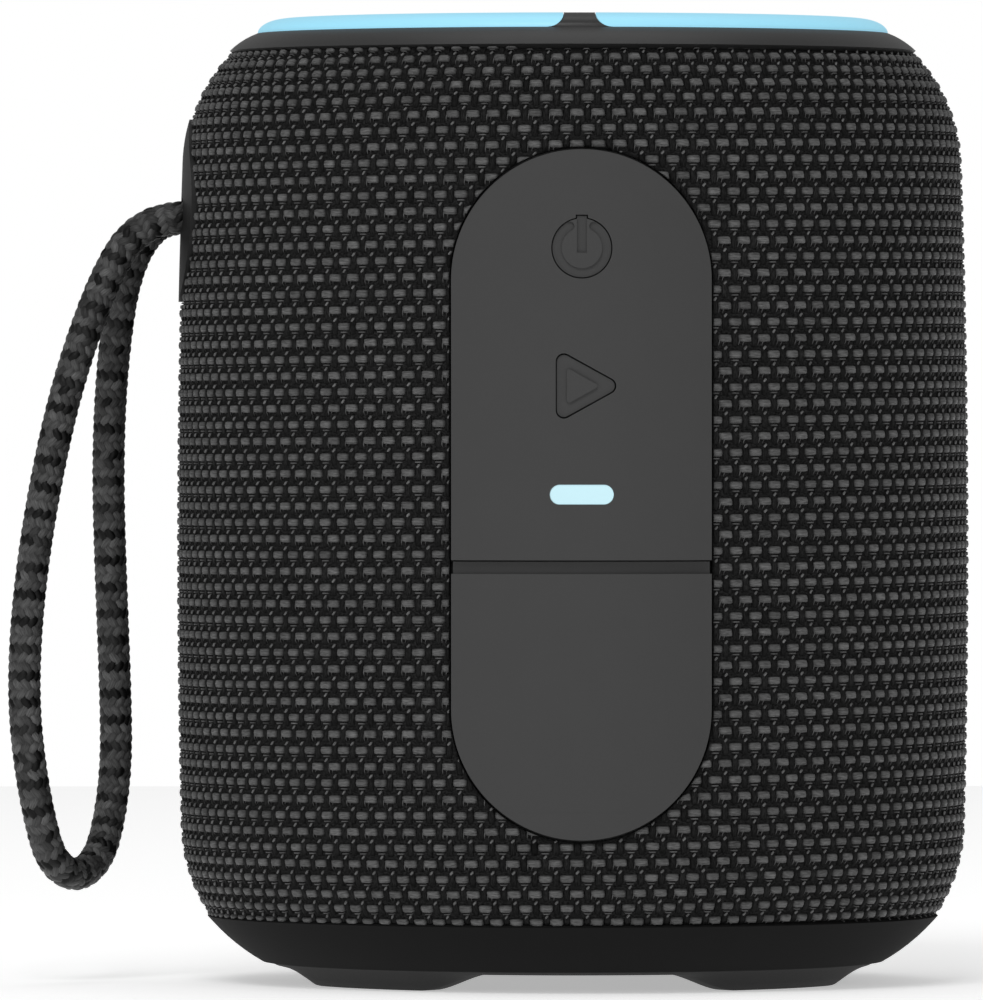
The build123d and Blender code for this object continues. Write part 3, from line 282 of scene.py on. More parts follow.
@dataclass(frozen=True)
class Yarn(Moulded):
    """Twisted filaments: streaks that run along the yarn, a dye that differs from yarn to yarn, painted
    shade where a yarn dips, soft sheen.

    Attributes:
        dark_colour: The darkest dye as sRGB hex, which is also the colour of the painted shade where a yarn
            dips.
        filament_mm: Spacing of the filaments across the yarn.
        sheen: Weight of the soft edge light.
        streaks: Streaks in a millimetre along the yarn.
        contrast: Darkest and lightest streak, as shares of the dye.
    """

    dark_colour: str = "#141414"
    filament_mm: float = 0.1
    streaks: float = 1.2
    contrast: tuple[float, float] = (0.45, 1.45)
    sheen: float = 0.0
    specular: float = 0.15

    def surface(self, material: bpy.types.Material) -> bpy.types.Node:
        """Lays dye, painted shade and filaments from the piece's own yarn map and tone."""
        along = add_node(material, "ShaderNodeUVMap", {"uv_map": "yarn"}).outputs["UV"]
        tone = add_node(material, "ShaderNodeAttribute", {"attribute_name": "tone"}).outputs["Fac"]
        stretch = add_node(
            material,
            "ShaderNodeMapping",
            {"Scale": (self.streaks, 1 / self.filament_mm, 1.0)},
            {"Vector": along},
        )
        streak = add_node(
            material,
            "ShaderNodeTexNoise",
            {"Scale": 1.0, "Detail": 2.0},
            {"Vector": stretch.outputs["Vector"]},
        )
        # Mixes the dark and light colours by the tone, which holds the dye and the painted shade where a
        # yarn dips.
        dye = add_node(
            material,
            "ShaderNodeMix",
            {"data_type": "RGBA", 6: linear(self.dark_colour), 7: linear(self.colour)},
            {0: tone},
        )
        shade = add_node(
            material,
            "ShaderNodeMapRange",
            {"From Min": 0.25, "From Max": 0.75, "To Min": self.contrast[0], "To Max": self.contrast[1]},
            {"Value": streak.outputs["Fac"]},
        )
        colour = add_node(
            material,
            "ShaderNodeMix",
            {"data_type": "RGBA", "blend_type": "MULTIPLY", 0: 1.0},
            {6: dye.outputs[2], 7: shade.outputs["Result"]},
        )
        bump = add_node(
            material,
            "ShaderNodeBump",
            {"Strength": 0.6, "Distance": self.relief_mm * MM},
            {"Height": streak.outputs["Fac"]},
        )
        return add_node(
            material,
            "ShaderNodeBsdfPrincipled",
            {
                "Roughness": self.roughness,
                "IOR": self.ior,
                "Specular IOR Level": self.specular,
                "Sheen Weight": self.sheen,
                "Sheen Roughness": 0.5,
            },
            {"Base Color": colour.outputs[2], "Normal": bump.outputs["Normal"]},
        )


# Silicone rubber, compression moulded: matt, with the tool's fine bead-blasted grain.
SILICONE = Moulded(
    "silicone_rubber_moulded_matt", "#383838", 0.62, 0.22, 0.006, 0.04, ior=1.42, specular=0.4
)
# Softer rubber of the feet: duller and blacker, slightly bloomed.
FOOT_RUBBER = Moulded("foot_rubber_moulded", "#2a2a2a", 0.7, 0.3, 0.01, 0.08, ior=1.45, specular=0.3)
# ABS with a spark-eroded texture, satin.
TRIM_ABS = Moulded("abs_trim_spark_eroded", "#222222", 0.42, 0.16, 0.006, 0.03, ior=1.52, specular=0.4)
BASE_ABS = Moulded("abs_base_spark_eroded", "#181818", 0.7, 0.18, 0.006, 0.04, ior=1.52, specular=0.05)
INNER_ABS = Moulded("abs_inner_black_moulded", "#161616", 0.5, 0.3, 0.006, 0.05, ior=1.52)
STRAP_ABS = Moulded("abs_strap_disc_satin", "#141414", 0.5, 0.18, 0.005, 0.04, ior=1.52, specular=0.2)
# Polycarbonate with a diffusing pigment, lit pale blue from behind.
LIGHT_GUIDE = Lit("polycarbonate_frosted_blue_lit", "#7fc0d8", 0.45, 0.4, 0.004, 0.02, glow=0.45)
STATUS_GUIDE = Lit(
    "polycarbonate_frosted_status_lit", "#8fb0b8", 0.4, 0.4, 0.004, 0.02, glow=0.5, glow_colour="#cbeaf2"
)
# Polyester yarns of the cloth: grey semi-dull weft over a black warp.
WEFT = Yarn(
    "polyester_weft_grey_woven",
    "#5e5e5e",
    0.5,
    relief_mm=0.02,
    dark_colour="#101010",
    filament_mm=0.16,
)
WARP = Yarn(
    "polyester_warp_black_woven",
    "#2e2e2e",
    0.6,
    relief_mm=0.02,
    dark_colour="#040404",
    filament_mm=0.12,
    specular=0.06,
    streaks=2.0,
    contrast=(0.1, 2.0),
)
STITCH = Yarn(
    "polyester_stitch_grey",
    "#6e6e6e",
    0.45,
    relief_mm=0.01,
    dark_colour="#101010",
    filament_mm=0.1,
)
CLOTH = Yarn(
    "polyester_ground_black_woven",
    "#262626",
    0.8,
    relief_mm=0.03,
    dark_colour="#040404",
    filament_mm=0.2,
    specular=0.04,
    streaks=3.4,
    contrast=(0.05, 2.2),
)
BRAID = Yarn(
    "polyester_braid_melange",
    "#5a5a5a",
    0.45,
    relief_mm=0.02,
    dark_colour="#0c0c0c",
    filament_mm=0.13,
)
# The stage's paper, lit a little from within so that it stays pale under soft lights.
BACKDROP = Lit(
    "paper_backdrop_white", "#fdfdfd", 0.8, 1.0, 0.001, 0.005, glow=0.42, glow_colour="#ffffff"
)
# Metals of the sockets, screws and driver.
PLATED_STEEL = Moulded("steel_nickel_plated_drawn", "#b4b4b0", 0.25, 0.3, 0.002, 0.03, metallic=1.0)
BLACK_ZINC = Moulded("steel_black_zinc_plated", "#3c3c3e", 0.4, 0.2, 0.004, 0.06, metallic=1.0)
ZINC_STEEL = Moulded("steel_zinc_plated_pressed", "#9a9a98", 0.35, 0.4, 0.004, 0.08, metallic=1.0)
POWDER_STEEL = Moulded("steel_powder_coated_black", "#1c1c1c", 0.55, 0.25, 0.02, 0.05)
ALUMINIUM = Moulded("aluminium_drawn_bright", "#c9c9cc", 0.3, 0.3, 0.002, 0.03, metallic=1.0)
COPPER = Moulded("copper_wire_enamelled_wound", "#b8693a", 0.3, 0.12, 0.03, 0.1, metallic=1.0)
GOLD = Moulded("gold_flash_on_nickel_contacts", "#d8b25a", 0.22, 0.3, 0.001, 0.03, metallic=1.0)
# What is inside the tub.
FERRITE = Moulded("ferrite_sintered_ground", "#2b2b2c", 0.6, 0.15, 0.01, 0.1)
SEAL_RUBBER = Moulded("butyl_rubber_moulded_black", "#141414", 0.6, 0.3, 0.006, 0.05)
CONE_PAPER = Moulded("paper_pulp_cone_coated", "#1b1b1b", 0.8, 0.6, 0.04, 0.12)
SPIDER_CLOTH = Moulded("cotton_cloth_phenolic_pressed", "#a8824a", 0.8, 0.35, 0.05, 0.12)
SOLDER_MASK = Moulded("fibreglass_board_green_mask", "#14502c", 0.35, 0.5, 0.004, 0.08)
SOCKET_PLASTIC = Moulded("nylon_socket_moulded_black", "#121212", 0.45, 0.3, 0.006, 0.05)
HEADER_NYLON = Moulded("nylon_header_natural", "#dcd6c4", 0.5, 0.3, 0.006, 0.04)
CHIP_EPOXY = Moulded("epoxy_chip_moulded", "#1a1a1b", 0.6, 0.12, 0.008, 0.06)
LED_BODY = Moulded("led_package_white", "#efeee6", 0.35, 0.3, 0.002, 0.02)
CELL_SLEEVE = Moulded("pvc_cell_sleeve_shrunk", "#1d4f8f", 0.35, 0.8, 0.01, 0.04)
WIRE_SLEEVE = Moulded("pvc_wire_sleeve_red", "#8e1c1c", 0.4, 0.3, 0.004, 0.04)

NODE_FINISHES: dict[str, Moulded] = {
    "speaker_fabric": CLOTH,
    "dark_abs": INNER_ABS,
    "trim_plastic": TRIM_ABS,
    "light_guide": LIGHT_GUIDE,
    "panel_silicone": SILICONE,
    "circuit_board": SOLDER_MASK,
    "led_body": LED_BODY,
    "switch_metal": PLATED_STEEL,
    "connector_steel": PLATED_STEEL,
    "socket_plastic": SOCKET_PLASTIC,
    "base_plastic": BASE_ABS,
    "foot_rubber": FOOT_RUBBER,
    "painted_steel": POWDER_STEEL,
    "seal_rubber": SEAL_RUBBER,
    "screw_steel": BLACK_ZINC,
    "motor_steel": ZINC_STEEL,
    "ferrite": FERRITE,
    "coil_copper": COPPER,
    "cone_paper": CONE_PAPER,
    "spider_cloth": SPIDER_CLOTH,
    "cell_wrap": CELL_SLEEVE,
    "chip_epoxy": CHIP_EPOXY,
    "capacitor_aluminium": ALUMINIUM,
    "header_nylon": HEADER_NYLON,
    "wire_sleeve": WIRE_SLEEVE,
    "strap_plastic": STRAP_ABS,
    "crimp_aluminium": ALUMINIUM,
    "braided_cord": BRAID,
}


# ---------------------------------------------------------------- the CAD pieces


@dataclass(frozen=True)
class Housing:
    """Everything that the CAD model already shapes: its pieces keep their shape and get their finish."""

    own_finish: Mapping[str, Moulded] = field(default_factory=lambda: {"status_lens": STATUS_GUIDE})

    def build(self) -> None:
        """Dresses each CAD node in the finish of its material slot, or in its own."""
        for name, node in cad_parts.items():
            finish = self.own_finish.get(name) or NODE_FINISHES[node.data.materials[0].name.split(".")[0]]
            dress(node, finish.material())
            log.info("dressed %s in %s", name, finish.name)


@dataclass(frozen=True)
class HingeWeb:
    """The thin rubber that joins the port cover to its fixed end, built as it lies with the cover shut.

    Attributes:
        pill_radius_mm: Radius of the round ends of the panel's outline.
        pill_centre_mm: Height of the lower round end's centre.
        face_radius_mm: Radius of the panel's face at the bend.
        low_mm: Upper edge of the fixed end.
        high_mm: Lower edge of the cover.
        reach_mm: How far the web runs into each of them.
        sunk_mm: Depth of the web's face under theirs.
        thickness_mm: Its thickness.
        columns: Points across the web.
        rows: Points from its lower to its upper edge.
    """

    pill_radius_mm: float = 13.8
    pill_centre_mm: float = 30.4
    face_radius_mm: float = 43.18
    low_mm: float = 19.5
    high_mm: float = 19.6
    reach_mm: float = 0.3
    sunk_mm: float = 0.006
    thickness_mm: float = 1.1
    columns: int = 33
    rows: int = 11

    def build(self) -> bpy.types.Object:
        """Shapes a grid into the web on the panel's curved face, between the fixed end and the cover, and
        thickens it.

        Returns:
            The web.
        """
        bpy.ops.object.select_all(action="DESELECT")
        bpy.ops.mesh.primitive_grid_add(
            x_subdivisions=self.columns - 1, y_subdivisions=self.rows - 1, size=2
        )
        web = bpy.context.object
        web.name = "port_cover_web"
        levels = [self.low_mm - self.reach_mm, *np.linspace(self.low_mm, self.high_mm, self.rows - 2)]
        levels.append(self.high_mm + self.reach_mm)
        for vertex in web.data.vertices:
            level = levels[round((vertex.co.y + 1) / 2 * (self.rows - 1))]
            half = math.sqrt(self.pill_radius_mm**2 - (self.pill_centre_mm - level) ** 2) - self.sunk_mm
            across = vertex.co.x * half
            radius = self.face_radius_mm - self.sunk_mm
            vertex.co = Vector((across, -math.sqrt(radius**2 - across**2), level)) * MM
        body = web.modifiers.new("thickness", "SOLIDIFY")
        body.thickness = self.thickness_mm * MM
        body.offset = -1.0
        bpy.ops.object.modifier_apply(modifier=body.name)
        bpy.ops.object.shade_smooth_by_angle(angle=WEB_CREASE)
        dress(web, SILICONE.material())
        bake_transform(web)
        return web


@dataclass(frozen=True)
class FootRing:
    """The rubber ring under the base, with four feet that run out in long ramps.

    Attributes:
        hoop_mm: Height of the ring's underside between the feet.
        ramp_degrees: Where a foot starts, is full, stops being full and ends, turning away from the front.
        top_mm: The section's upper half, as radius and height, from its outside inwards.
        foot_mm: The section's lower half under a foot, from its inside outwards.
        steps: Steps round the ring.
    """

    hoop_mm: float = 1.9
    ramp_degrees: tuple[float, float, float, float] = (18.7, 34.0, 66.0, 80.0)
    top_mm: tuple[tuple[float, float], ...] = (
        (32.9, 2.2), (32.9, 3.3), (32.8, 3.4), (30.0, 3.4),
        (28.0, 3.4), (26.1, 3.4), (26.0, 3.3), (26.0, 2.2),
    )
    foot_mm: tuple[tuple[float, float], ...] = (
        (26.1, 1.95), (26.9, 0.6), (27.3, 0.1), (27.6, 0.0),
        (29.9, 0.0), (30.3, 0.08), (31.2, 0.8), (32.2, 1.75),
    )
    steps: int = 256

    def drop(self, angle: float) -> float:
        """Share of a foot's full height at an angle from the front, in radians.

        Args:
            angle: The angle.

        Returns:
            A number from zero to one.
        """
        turn = math.degrees(abs(math.remainder(angle, 2 * math.pi)))
        turn = min(turn, 180 - turn)
        start, full, stop, end = self.ramp_degrees
        share = min(max(min((turn - start) / (full - start), (end - turn) / (end - stop)), 0.0), 1.0)
        return share * share * (3 - 2 * share)

    def build(self) -> bpy.types.Object:
        """Shapes a torus into the ring.

        Returns:
            The ring.
        """
        section = len(self.top_mm) + len(self.foot_mm)
        bpy.ops.object.select_all(action="DESELECT")
        bpy.ops.mesh.primitive_torus_add(
            major_segments=self.steps, minor_segments=section, major_radius=1.0, minor_radius=0.25
        )
        ring = bpy.context.object
        ring.name = "foot_ring_moulded"
        for number, vertex in enumerate(ring.data.vertices):
            angle = 2 * math.pi * (number // section) / self.steps
            place = number % section
            if place < len(self.top_mm):
                radius, level = self.top_mm[place]
            else:
                radius, foot = self.foot_mm[place - len(self.top_mm)]
                level = self.hoop_mm + (foot - self.hoop_mm) * self.drop(angle)
            vertex.co = Vector((radius * math.sin(angle), -radius * math.cos(angle), level)) * MM
        bpy.ops.object.shade_smooth_by_angle(angle=FOOT_CREASE)
        dress(ring, FOOT_RUBBER.material())
        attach(ring, "housing")
        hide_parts("foot_ring")
        return ring


@dataclass(frozen=True)
class Contacts:
    """Gold contacts in the two sockets behind the port cover.

    Attributes:
        tongue_top_mm: Height of the upper face of the USB-C tongue.
        tongue_front_mm: Distance of its front edge from the axis.
        pads: Contacts side by side on each face.
        pad_mm: Width, length and thickness of one.
        pitch_mm: Their spacing.
        tongue_mm: The tongue's thickness.
        jack_height_mm: Height of the jack's axis.
        jack_front_mm: Distance of its contact ring from the axis.
        jack_bore_mm: Radius of the jack's bore.
        pad_inset_mm: How far a pad stops short of the tongue's front edge.
        jack_wire_mm: Radius of the ring's own section.
    """

    tongue_top_mm: float = 37.55
    tongue_front_mm: float = 35.8
    pads: int = 12
    pad_mm: tuple[float, float, float] = (0.26, 1.7, 0.03)
    pitch_mm: float = 0.45
    tongue_mm: float = 0.7
    jack_height_mm: float = 26.8
    jack_front_mm: float = 34.6
    jack_bore_mm: float = 1.8
    pad_inset_mm: float = 0.1
    jack_wire_mm: float = 0.14

    def build(self) -> bpy.types.Object:
        """Lays the pads on both faces of the tongue and the ring in the jack.

        Returns:
            One piece with all of them.
        """
        bpy.ops.object.select_all(action="DESELECT")
        pieces = []
        for number in range(self.pads):
            across = (number - (self.pads - 1) / 2) * self.pitch_mm
            for level in (self.tongue_top_mm, self.tongue_top_mm - self.tongue_mm):
                front = self.tongue_front_mm - self.pad_mm[1] / 2 - self.pad_inset_mm
                place = (across * MM, -front * MM, level * MM)
                bpy.ops.mesh.primitive_cube_add(size=1, location=place)
                bpy.context.object.scale = [side * MM for side in self.pad_mm]
                pieces.append(bpy.context.object)
        bpy.ops.mesh.primitive_torus_add(
            major_segments=48,
            minor_segments=10,
            major_radius=self.jack_bore_mm * MM,
            minor_radius=self.jack_wire_mm * MM,
            location=(0, -self.jack_front_mm * MM, self.jack_height_mm * MM),
            rotation=(math.pi / 2, 0, 0),
        )
        bpy.ops.object.shade_smooth()
        pieces.append(bpy.context.object)
        for piece in pieces:
            piece.select_set(True)
        bpy.ops.object.join()
        bpy.ops.object.transform_apply(location=True, rotation=True, scale=True)
        contacts = bpy.context.object
        contacts.name = "socket_contacts"
        dress(contacts, GOLD.material())
        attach(contacts, "housing")
        return contacts


# ---------------------------------------------------------------- the cloth


@dataclass(frozen=True)
class Barrel:
    """The barrel's half outline: a faintly bowed side between two round shoulders, all tangent."""

    belly_radius_mm: float = 43.0
    belly_height_mm: float = 47.0
    side_arc_mm: float = 1200.0
    shoulder_mm: float = 18.0
    lower_centre_height_mm: float = 17.34
    upper_centre_height_mm: float = 88.27
    samples: int = 1200

    def centre(self, height_mm: float) -> tuple[float, float]:
        """Centre of the shoulder arc at a height, where it is tangent to the side.

        Args:
            height_mm: Height of the arc's centre.

        Returns:
            Its distance from the barrel's axis and its height.
        """
        reach = self.side_arc_mm - self.shoulder_mm
        rise = height_mm - self.belly_height_mm
        return self.belly_radius_mm - self.side_arc_mm + math.sqrt(reach**2 - rise**2), height_mm

    def outline(self, low_mm: float, high_mm: float) -> np.ndarray:
        """Samples the outline from one height to another.

        Args:
            low_mm: Height of its lower end.
            high_mm: Height of its upper end.

        Returns:
            Rows of run along the outline, radius, height and the normal's angle, in millimetres and
            radians.
        """
        lower, upper = self.centre(self.lower_centre_height_mm), self.centre(self.upper_centre_height_mm)
        side = (self.belly_radius_mm - self.side_arc_mm, self.belly_height_mm)
        start = math.asin((low_mm - lower[1]) / self.shoulder_mm)
        end = math.asin((high_mm - upper[1]) / self.shoulder_mm)
        bends = [math.atan2(c[1] - side[1], c[0] - side[0]) for c in (lower, upper)]
        arcs = [
            (lower, self.shoulder_mm, start, bends[0]),
            (side, self.side_arc_mm, bends[0], bends[1]),
            (upper, self.shoulder_mm, bends[1], end),
        ]
        rows: list[np.ndarray] = []
        run = 0.0
        for (radius, height), arc_radius, first, last in arcs:
            angle = np.linspace(first, last, self.samples)
            rows.append(
                np.stack(
                    [
                        run + arc_radius * (angle - first),
                        radius + arc_radius * np.cos(angle),
                        height + arc_radius * np.sin(angle),
                        angle,
                    ],
                    axis=1,
                )
            )
            run += arc_radius * (last - first)
        return np.concatenate(rows)


@dataclass(frozen=True)
class CutOut:
    """A hole in the cloth with round ends, seen straight from one side.

    Attributes:
        facing: 0 where the hole faces -Y, and 1 where it faces -X.
        low_mm: Height of the lower round end's centre.
        high_mm: Height of the upper round end's centre.
        radius_mm: Radius of the round ends and half the hole's width.
    """

    facing: int
    low_mm: float
    high_mm: float
    radius_mm: float

    def distance(self, across: np.ndarray, height: np.ndarray) -> np.ndarray:
        """How far each point is outside the hole's edge, in millimetres."""
        return np.hypot(across, height - np.clip(height, self.low_mm, self.high_mm)) - self.radius_mm


@dataclass(frozen=True)
class YarnShape:
    """One yarn segment as a strip of quads: places along it, across it, and how high it stands.

    Attributes:
        along_mm: Places along the segment.
        across_mm: Places across it.
        crown_mm: Height along the middle, for each place along it.
        flank_mm: How much lower each place across it lies.
        width: Share of the full width at each place along it.
        turn: Angle of the segment from the row's direction.
        lean: Sideways shift for each millimetre across.
        bow_mm: How far its middle arches up from its ends.
    """

    along_mm: Sequence[float]
    across_mm: Sequence[float]
    crown_mm: Sequence[float]
    flank_mm: Sequence[float]
    width: Sequence[float]
    turn: float = 0.0
    lean: float = 0.0
    bow_mm: float = 0.0

    def points(self) -> tuple[np.ndarray, np.ndarray]:
        """Lays the strip out flat.

        Returns:
            Rows of place along the row, place up the cloth and height, and the yarn map of each.
        """
        along = np.repeat(self.along_mm, len(self.across_mm))
        share = np.repeat(self.width, len(self.across_mm))
        across = np.tile(self.across_mm, len(self.along_mm)) * share
        across = across + self.bow_mm * (1 - (along / self.along_mm[-1]) ** 2)
        height = np.repeat(self.crown_mm, len(self.across_mm)) - np.tile(self.flank_mm, len(self.along_mm))
        cos, sin = math.cos(self.turn), math.sin(self.turn)
        sideways = along * cos - across * sin - self.lean * across
        place = np.stack([sideways, along * sin + across * cos, height], axis=1)
        return place, np.stack([along, across], axis=1)

    def faces(self) -> np.ndarray:
        """Numbers the strip's quads, outward side anticlockwise."""
        wide = len(self.across_mm)
        first = np.array([i * wide + j for i in range(len(self.along_mm) - 1) for j in range(wide - 1)])
        return np.stack([first, first + wide, first + wide + 1, first + 1], axis=1)


class Row(Enum):
    """The two rows of the weave, which alternate up the cloth."""

    LOOPED = 0
    BARRED = 1


FLOAT_ROUND = ((-0.42, -0.34, 0.0, 0.34, 0.42), (0.34, 0.07, 0.0, 0.07, 0.34))
WEFT_FLOATS = {
    Row.LOOPED: YarnShape(
        (-0.84, -0.70, -0.44, 0.44, 0.62, 0.74),
        FLOAT_ROUND[0],
        (-0.36, -0.12, -0.01, 0.0, -0.12, -0.36),
        FLOAT_ROUND[1],
        (0.70, 0.92, 1.0, 1.0, 0.92, 0.75),
        lean=0.16,
    ),
    Row.BARRED: YarnShape(
        (-0.78, -0.65, -0.42, 0.42, 0.65, 0.78),
        FLOAT_ROUND[0],
        (-0.36, -0.14, -0.02, -0.02, -0.14, -0.36),
        FLOAT_ROUND[1],
        (0.75, 0.92, 1.0, 1.0, 0.92, 0.75),
    ),
}
WARP_FLOAT = YarnShape(
    (-1.05, -0.80, 0.0, 0.80, 1.05),
    (-0.44, -0.24, 0.24, 0.44),
    (-0.62, -0.26, -0.16, -0.26, -0.62),
    (0.30, 0.03, 0.03, 0.30),
    (0.8, 0.95, 1.0, 0.95, 0.8),
    turn=math.pi / 2,
)
STITCHES = {
    Row.LOOPED: YarnShape(
        (-0.32, -0.18, 0.18, 0.32),
        (-0.14, 0.0, 0.14),
        (-0.40, -0.10, -0.10, -0.40),
        (0.18, 0.0, 0.18),
        (0.6, 1.0, 1.0, 0.6),
        turn=math.radians(48),
    ),
    Row.BARRED: YarnShape(
        (-0.32, -0.18, 0.18, 0.32),
        (-0.13, 0.0, 0.13),
        (-0.40, -0.10, -0.10, -0.40),
        (0.18, 0.0, 0.18),
        (0.6, 1.0, 1.0, 0.6),
        turn=math.radians(52),
    ),
}
BINDERS = {
    Row.LOOPED: YarnShape(
        (-0.36, -0.24, -0.12, 0.0, 0.12, 0.24, 0.36),
        (-0.06, 0.06),
        (-0.34, -0.22, -0.18, -0.16, -0.18, -0.22, -0.34),
        (0.0, 0.0),
        (1.0, 1.0, 1.0, 1.0, 1.0, 1.0, 1.0),
        turn=math.radians(28),
        bow_mm=0.34,
    ),
    Row.BARRED: YarnShape(
        (-0.46, -0.30, 0.30, 0.46),
        (-0.07, 0.07),
        (-0.42, -0.18, -0.18, -0.42),
        (0.0, 0.0),
        (1.0, 1.0, 1.0, 1.0),
    ),
}


# The thread that runs down from a float's upper left corner to the loop under it.
TAIL = YarnShape(
    (-0.45, -0.15, 0.15, 0.45),
    (-0.06, 0.06),
    (-0.4, -0.24, -0.2, -0.3),
    (0.0, 0.0),
    (0.8, 1.0, 1.0, 0.8),
    turn=math.radians(84),
)


@dataclass
class GrilleCloth:
    """The woven sleeve: a ground sheet, grey weft floats, black warp floats and small binding stitches.

    Attributes:
        columns: Floats around the barrel.
        row_mm: Spacing of the rows along the outline.
        ground_depth_mm: Depth of the ground sheet's face under the floats' crowns.
        ground_mm: Thickness of the ground sheet.
        edge_gap_mm: Gap between the cloth and what it is cut out for.
        top_gap_mm: Gap between the cloth's top edge and the trim ring.
        overrun_mm: How far a row's middle may lie past the cloth's ends, where it is tucked in.
        hidden_share: Share of a yarn's reach that may lie in a hole before the yarn is left out.
        map_shift_mm: Most that a yarn's map is shifted, so that no two look alike.
        stitch_drop_mm: How far below its float a stitch is.
        binder_drop_mm: How far below its float a binder is.
        tail_step_mm: How far to the side of its float's middle a tail is.
        tail_drop_mm: How far below its float's middle a tail's middle is.
        turn_mm: How far the sleeve is turned on the barrel.
        sag_mm: How far its rows sit below an even division.
        skew_mm: How far the rows tilt, as a sleeve that was pulled on by hand.
        tone_spread: How much the dye differs from yarn to yarn.
        edge_shade: How quickly painted shade darkens a yarn where it dips under its neighbours.
        seed: Start of the random numbers.
    """

    barrel: Barrel = field(default_factory=Barrel)
    columns: int = 116
    row_mm: float = 1.72
    ground_depth_mm: float = 0.42
    ground_mm: float = 0.35
    edge_gap_mm: float = 0.3
    top_gap_mm: float = 0.1
    overrun_mm: float = 0.3
    hidden_share: float = 0.3
    map_shift_mm: float = 50
    stitch_drop_mm: float = 1.04
    binder_drop_mm: float = 0.62
    tail_step_mm: float = -0.74
    tail_drop_mm: float = 0.3
    turn_mm: float = -0.45
    sag_mm: float = 0.47
    skew_mm: float = 0.5
    tone_spread: float = 0.1
    edge_shade: float = 1.9
    seed: int = 7

    def __post_init__(self) -> None:
        """Takes the cloth's height and its two holes from the CAD model."""
        low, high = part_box("grille_fabric")
        self.low_mm, self.high_mm = low.z / MM, high.z / MM - self.top_gap_mm
        self.outline = self.barrel.outline(self.low_mm, self.high_mm)
        self.run_mm = self.outline[-1, 0]
        self.rows = round(self.run_mm / self.row_mm)
        self.random = np.random.default_rng(self.seed)
        self.holes = [
            self.hole(0, "control_panel", "port_cover_anchor"),
            self.hole(1, "strap_plate", "strap_plate"),
        ]

    def hole(self, facing: int, upper: str, lower: str) -> CutOut:
        """The hole round one or two nodes, a gap wider than they are.

        Args:
            facing: Which side the hole faces, as CutOut says.
            upper: The node at its upper end.
            lower: The node at its lower end.

        Returns:
            The hole.
        """
        low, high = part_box(upper)
        radius = (high[facing] - low[facing]) / 2 / MM
        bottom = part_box(lower)[0].z / MM
        return CutOut(facing, bottom + radius, high.z / MM - radius, radius + self.edge_gap_mm)

    def place(self, around: np.ndarray, run: np.ndarray, height: np.ndarray) -> np.ndarray:
        """Wraps flat cloth onto the barrel.

        Args:
            around: Angle round the axis from the front, in radians.
            run: Distance up the outline, in millimetres.
            height: Distance out of the outline, in millimetres.

        Returns:
            Points in metres.
        """
        radius, level, angle = [np.interp(run, self.outline[:, 0], self.outline[:, k]) for k in (1, 2, 3)]
        radius, level = radius + height * np.cos(angle), level + height * np.sin(angle)
        return np.stack([radius * np.sin(around), -radius * np.cos(around), level], axis=1) * MM

    def trimmed(self, around: np.ndarray, run: np.ndarray) -> tuple[np.ndarray, np.ndarray, np.ndarray]:
        """Moves what lies in a hole out to its edge, as a cut does.

        Args:
            around: Angles round the axis.
            run: Distances up the outline.

        Returns:
            The new angles and runs, and how far each point was outside the nearest hole.
        """
        around, run = around.copy(), run.copy()
        outside = np.full(len(around), np.inf)
        for hole in self.holes:
            axis_angle = -math.pi / 2 * hole.facing
            turn = (around - axis_angle + math.pi) % (2 * math.pi) - math.pi
            radius, level = [np.interp(run, self.outline[:, 0], self.outline[:, k]) for k in (1, 2)]
            across = radius * np.sin(turn)
            gap = np.where(np.abs(turn) < math.pi / 2, hole.distance(across, level), np.inf)
            outside = np.minimum(outside, gap)
            inside = gap < 0
            anchor = np.clip(level, hole.low_mm, hole.high_mm)
            scale = hole.radius_mm / np.maximum(gap + hole.radius_mm, 1e-6)
            new_level = anchor + (level - anchor) * scale
            new_run = np.interp(new_level, self.outline[:, 2], self.outline[:, 0])
            new_radius = np.interp(new_run, self.outline[:, 0], self.outline[:, 1])
            new_turn = np.arcsin(np.clip(across * scale / new_radius, -1, 1))
            around[inside] = new_turn[inside] + axis_angle
            run[inside] = new_run[inside]
        return around, run, outside

    def scatter(
        self, name: str, parts: Sequence[tuple[YarnShape, np.ndarray, np.ndarray]], tone: float
    ) -> bpy.types.Object:
        """Copies yarn segments to their places on the barrel, and cuts them at the holes.

        Args:
            name: The piece's name.
            parts: Each segment's shape with the angles and runs of its copies.
            tone: Middle of the dye's tone.

        Returns:
            One mesh with all copies.
        """
        points, faces, maps, tones = [], [], [], []
        count = 0
        for shape, around, run in parts:
            flat, yarn = shape.points()
            reach = np.abs(flat[:, :2]).max()
            keep = self.trimmed(around, run)[2] > -self.hidden_share * reach
            around, run = around[keep], run[keep]
            number = len(around)
            spread = around[:, None] + flat[None, :, 0] / self.barrel.belly_radius_mm
            rise = np.clip(run[:, None] + flat[None, :, 1], 0, self.run_mm)
            turned, risen, _ = self.trimmed(spread.ravel(), rise.ravel())
            points.append(self.place(turned, risen, np.tile(flat[:, 2], number)))
            quads = shape.faces()[None] + (count + len(flat) * np.arange(number))[:, None, None]
            faces.append(quads.reshape(-1, 4))
            shift = self.random.uniform(0, self.map_shift_mm, (number, 1, 2))
            maps.append((yarn[None] + shift).reshape(-1, 2))
            dye = self.random.normal(tone, self.tone_spread, (number, 1))
            # Painted shade: each yarn is darkened towards its ends, where it dips under its neighbours.
            shade = np.clip(1 + self.edge_shade * flat[:, 2], 0, 1)
            tones.append(np.clip(dye * shade, 0, 1).ravel())
            count += number * len(flat)
        return mesh_object(
            name, np.concatenate(points), np.concatenate(faces), np.concatenate(maps), np.concatenate(tones)
        )

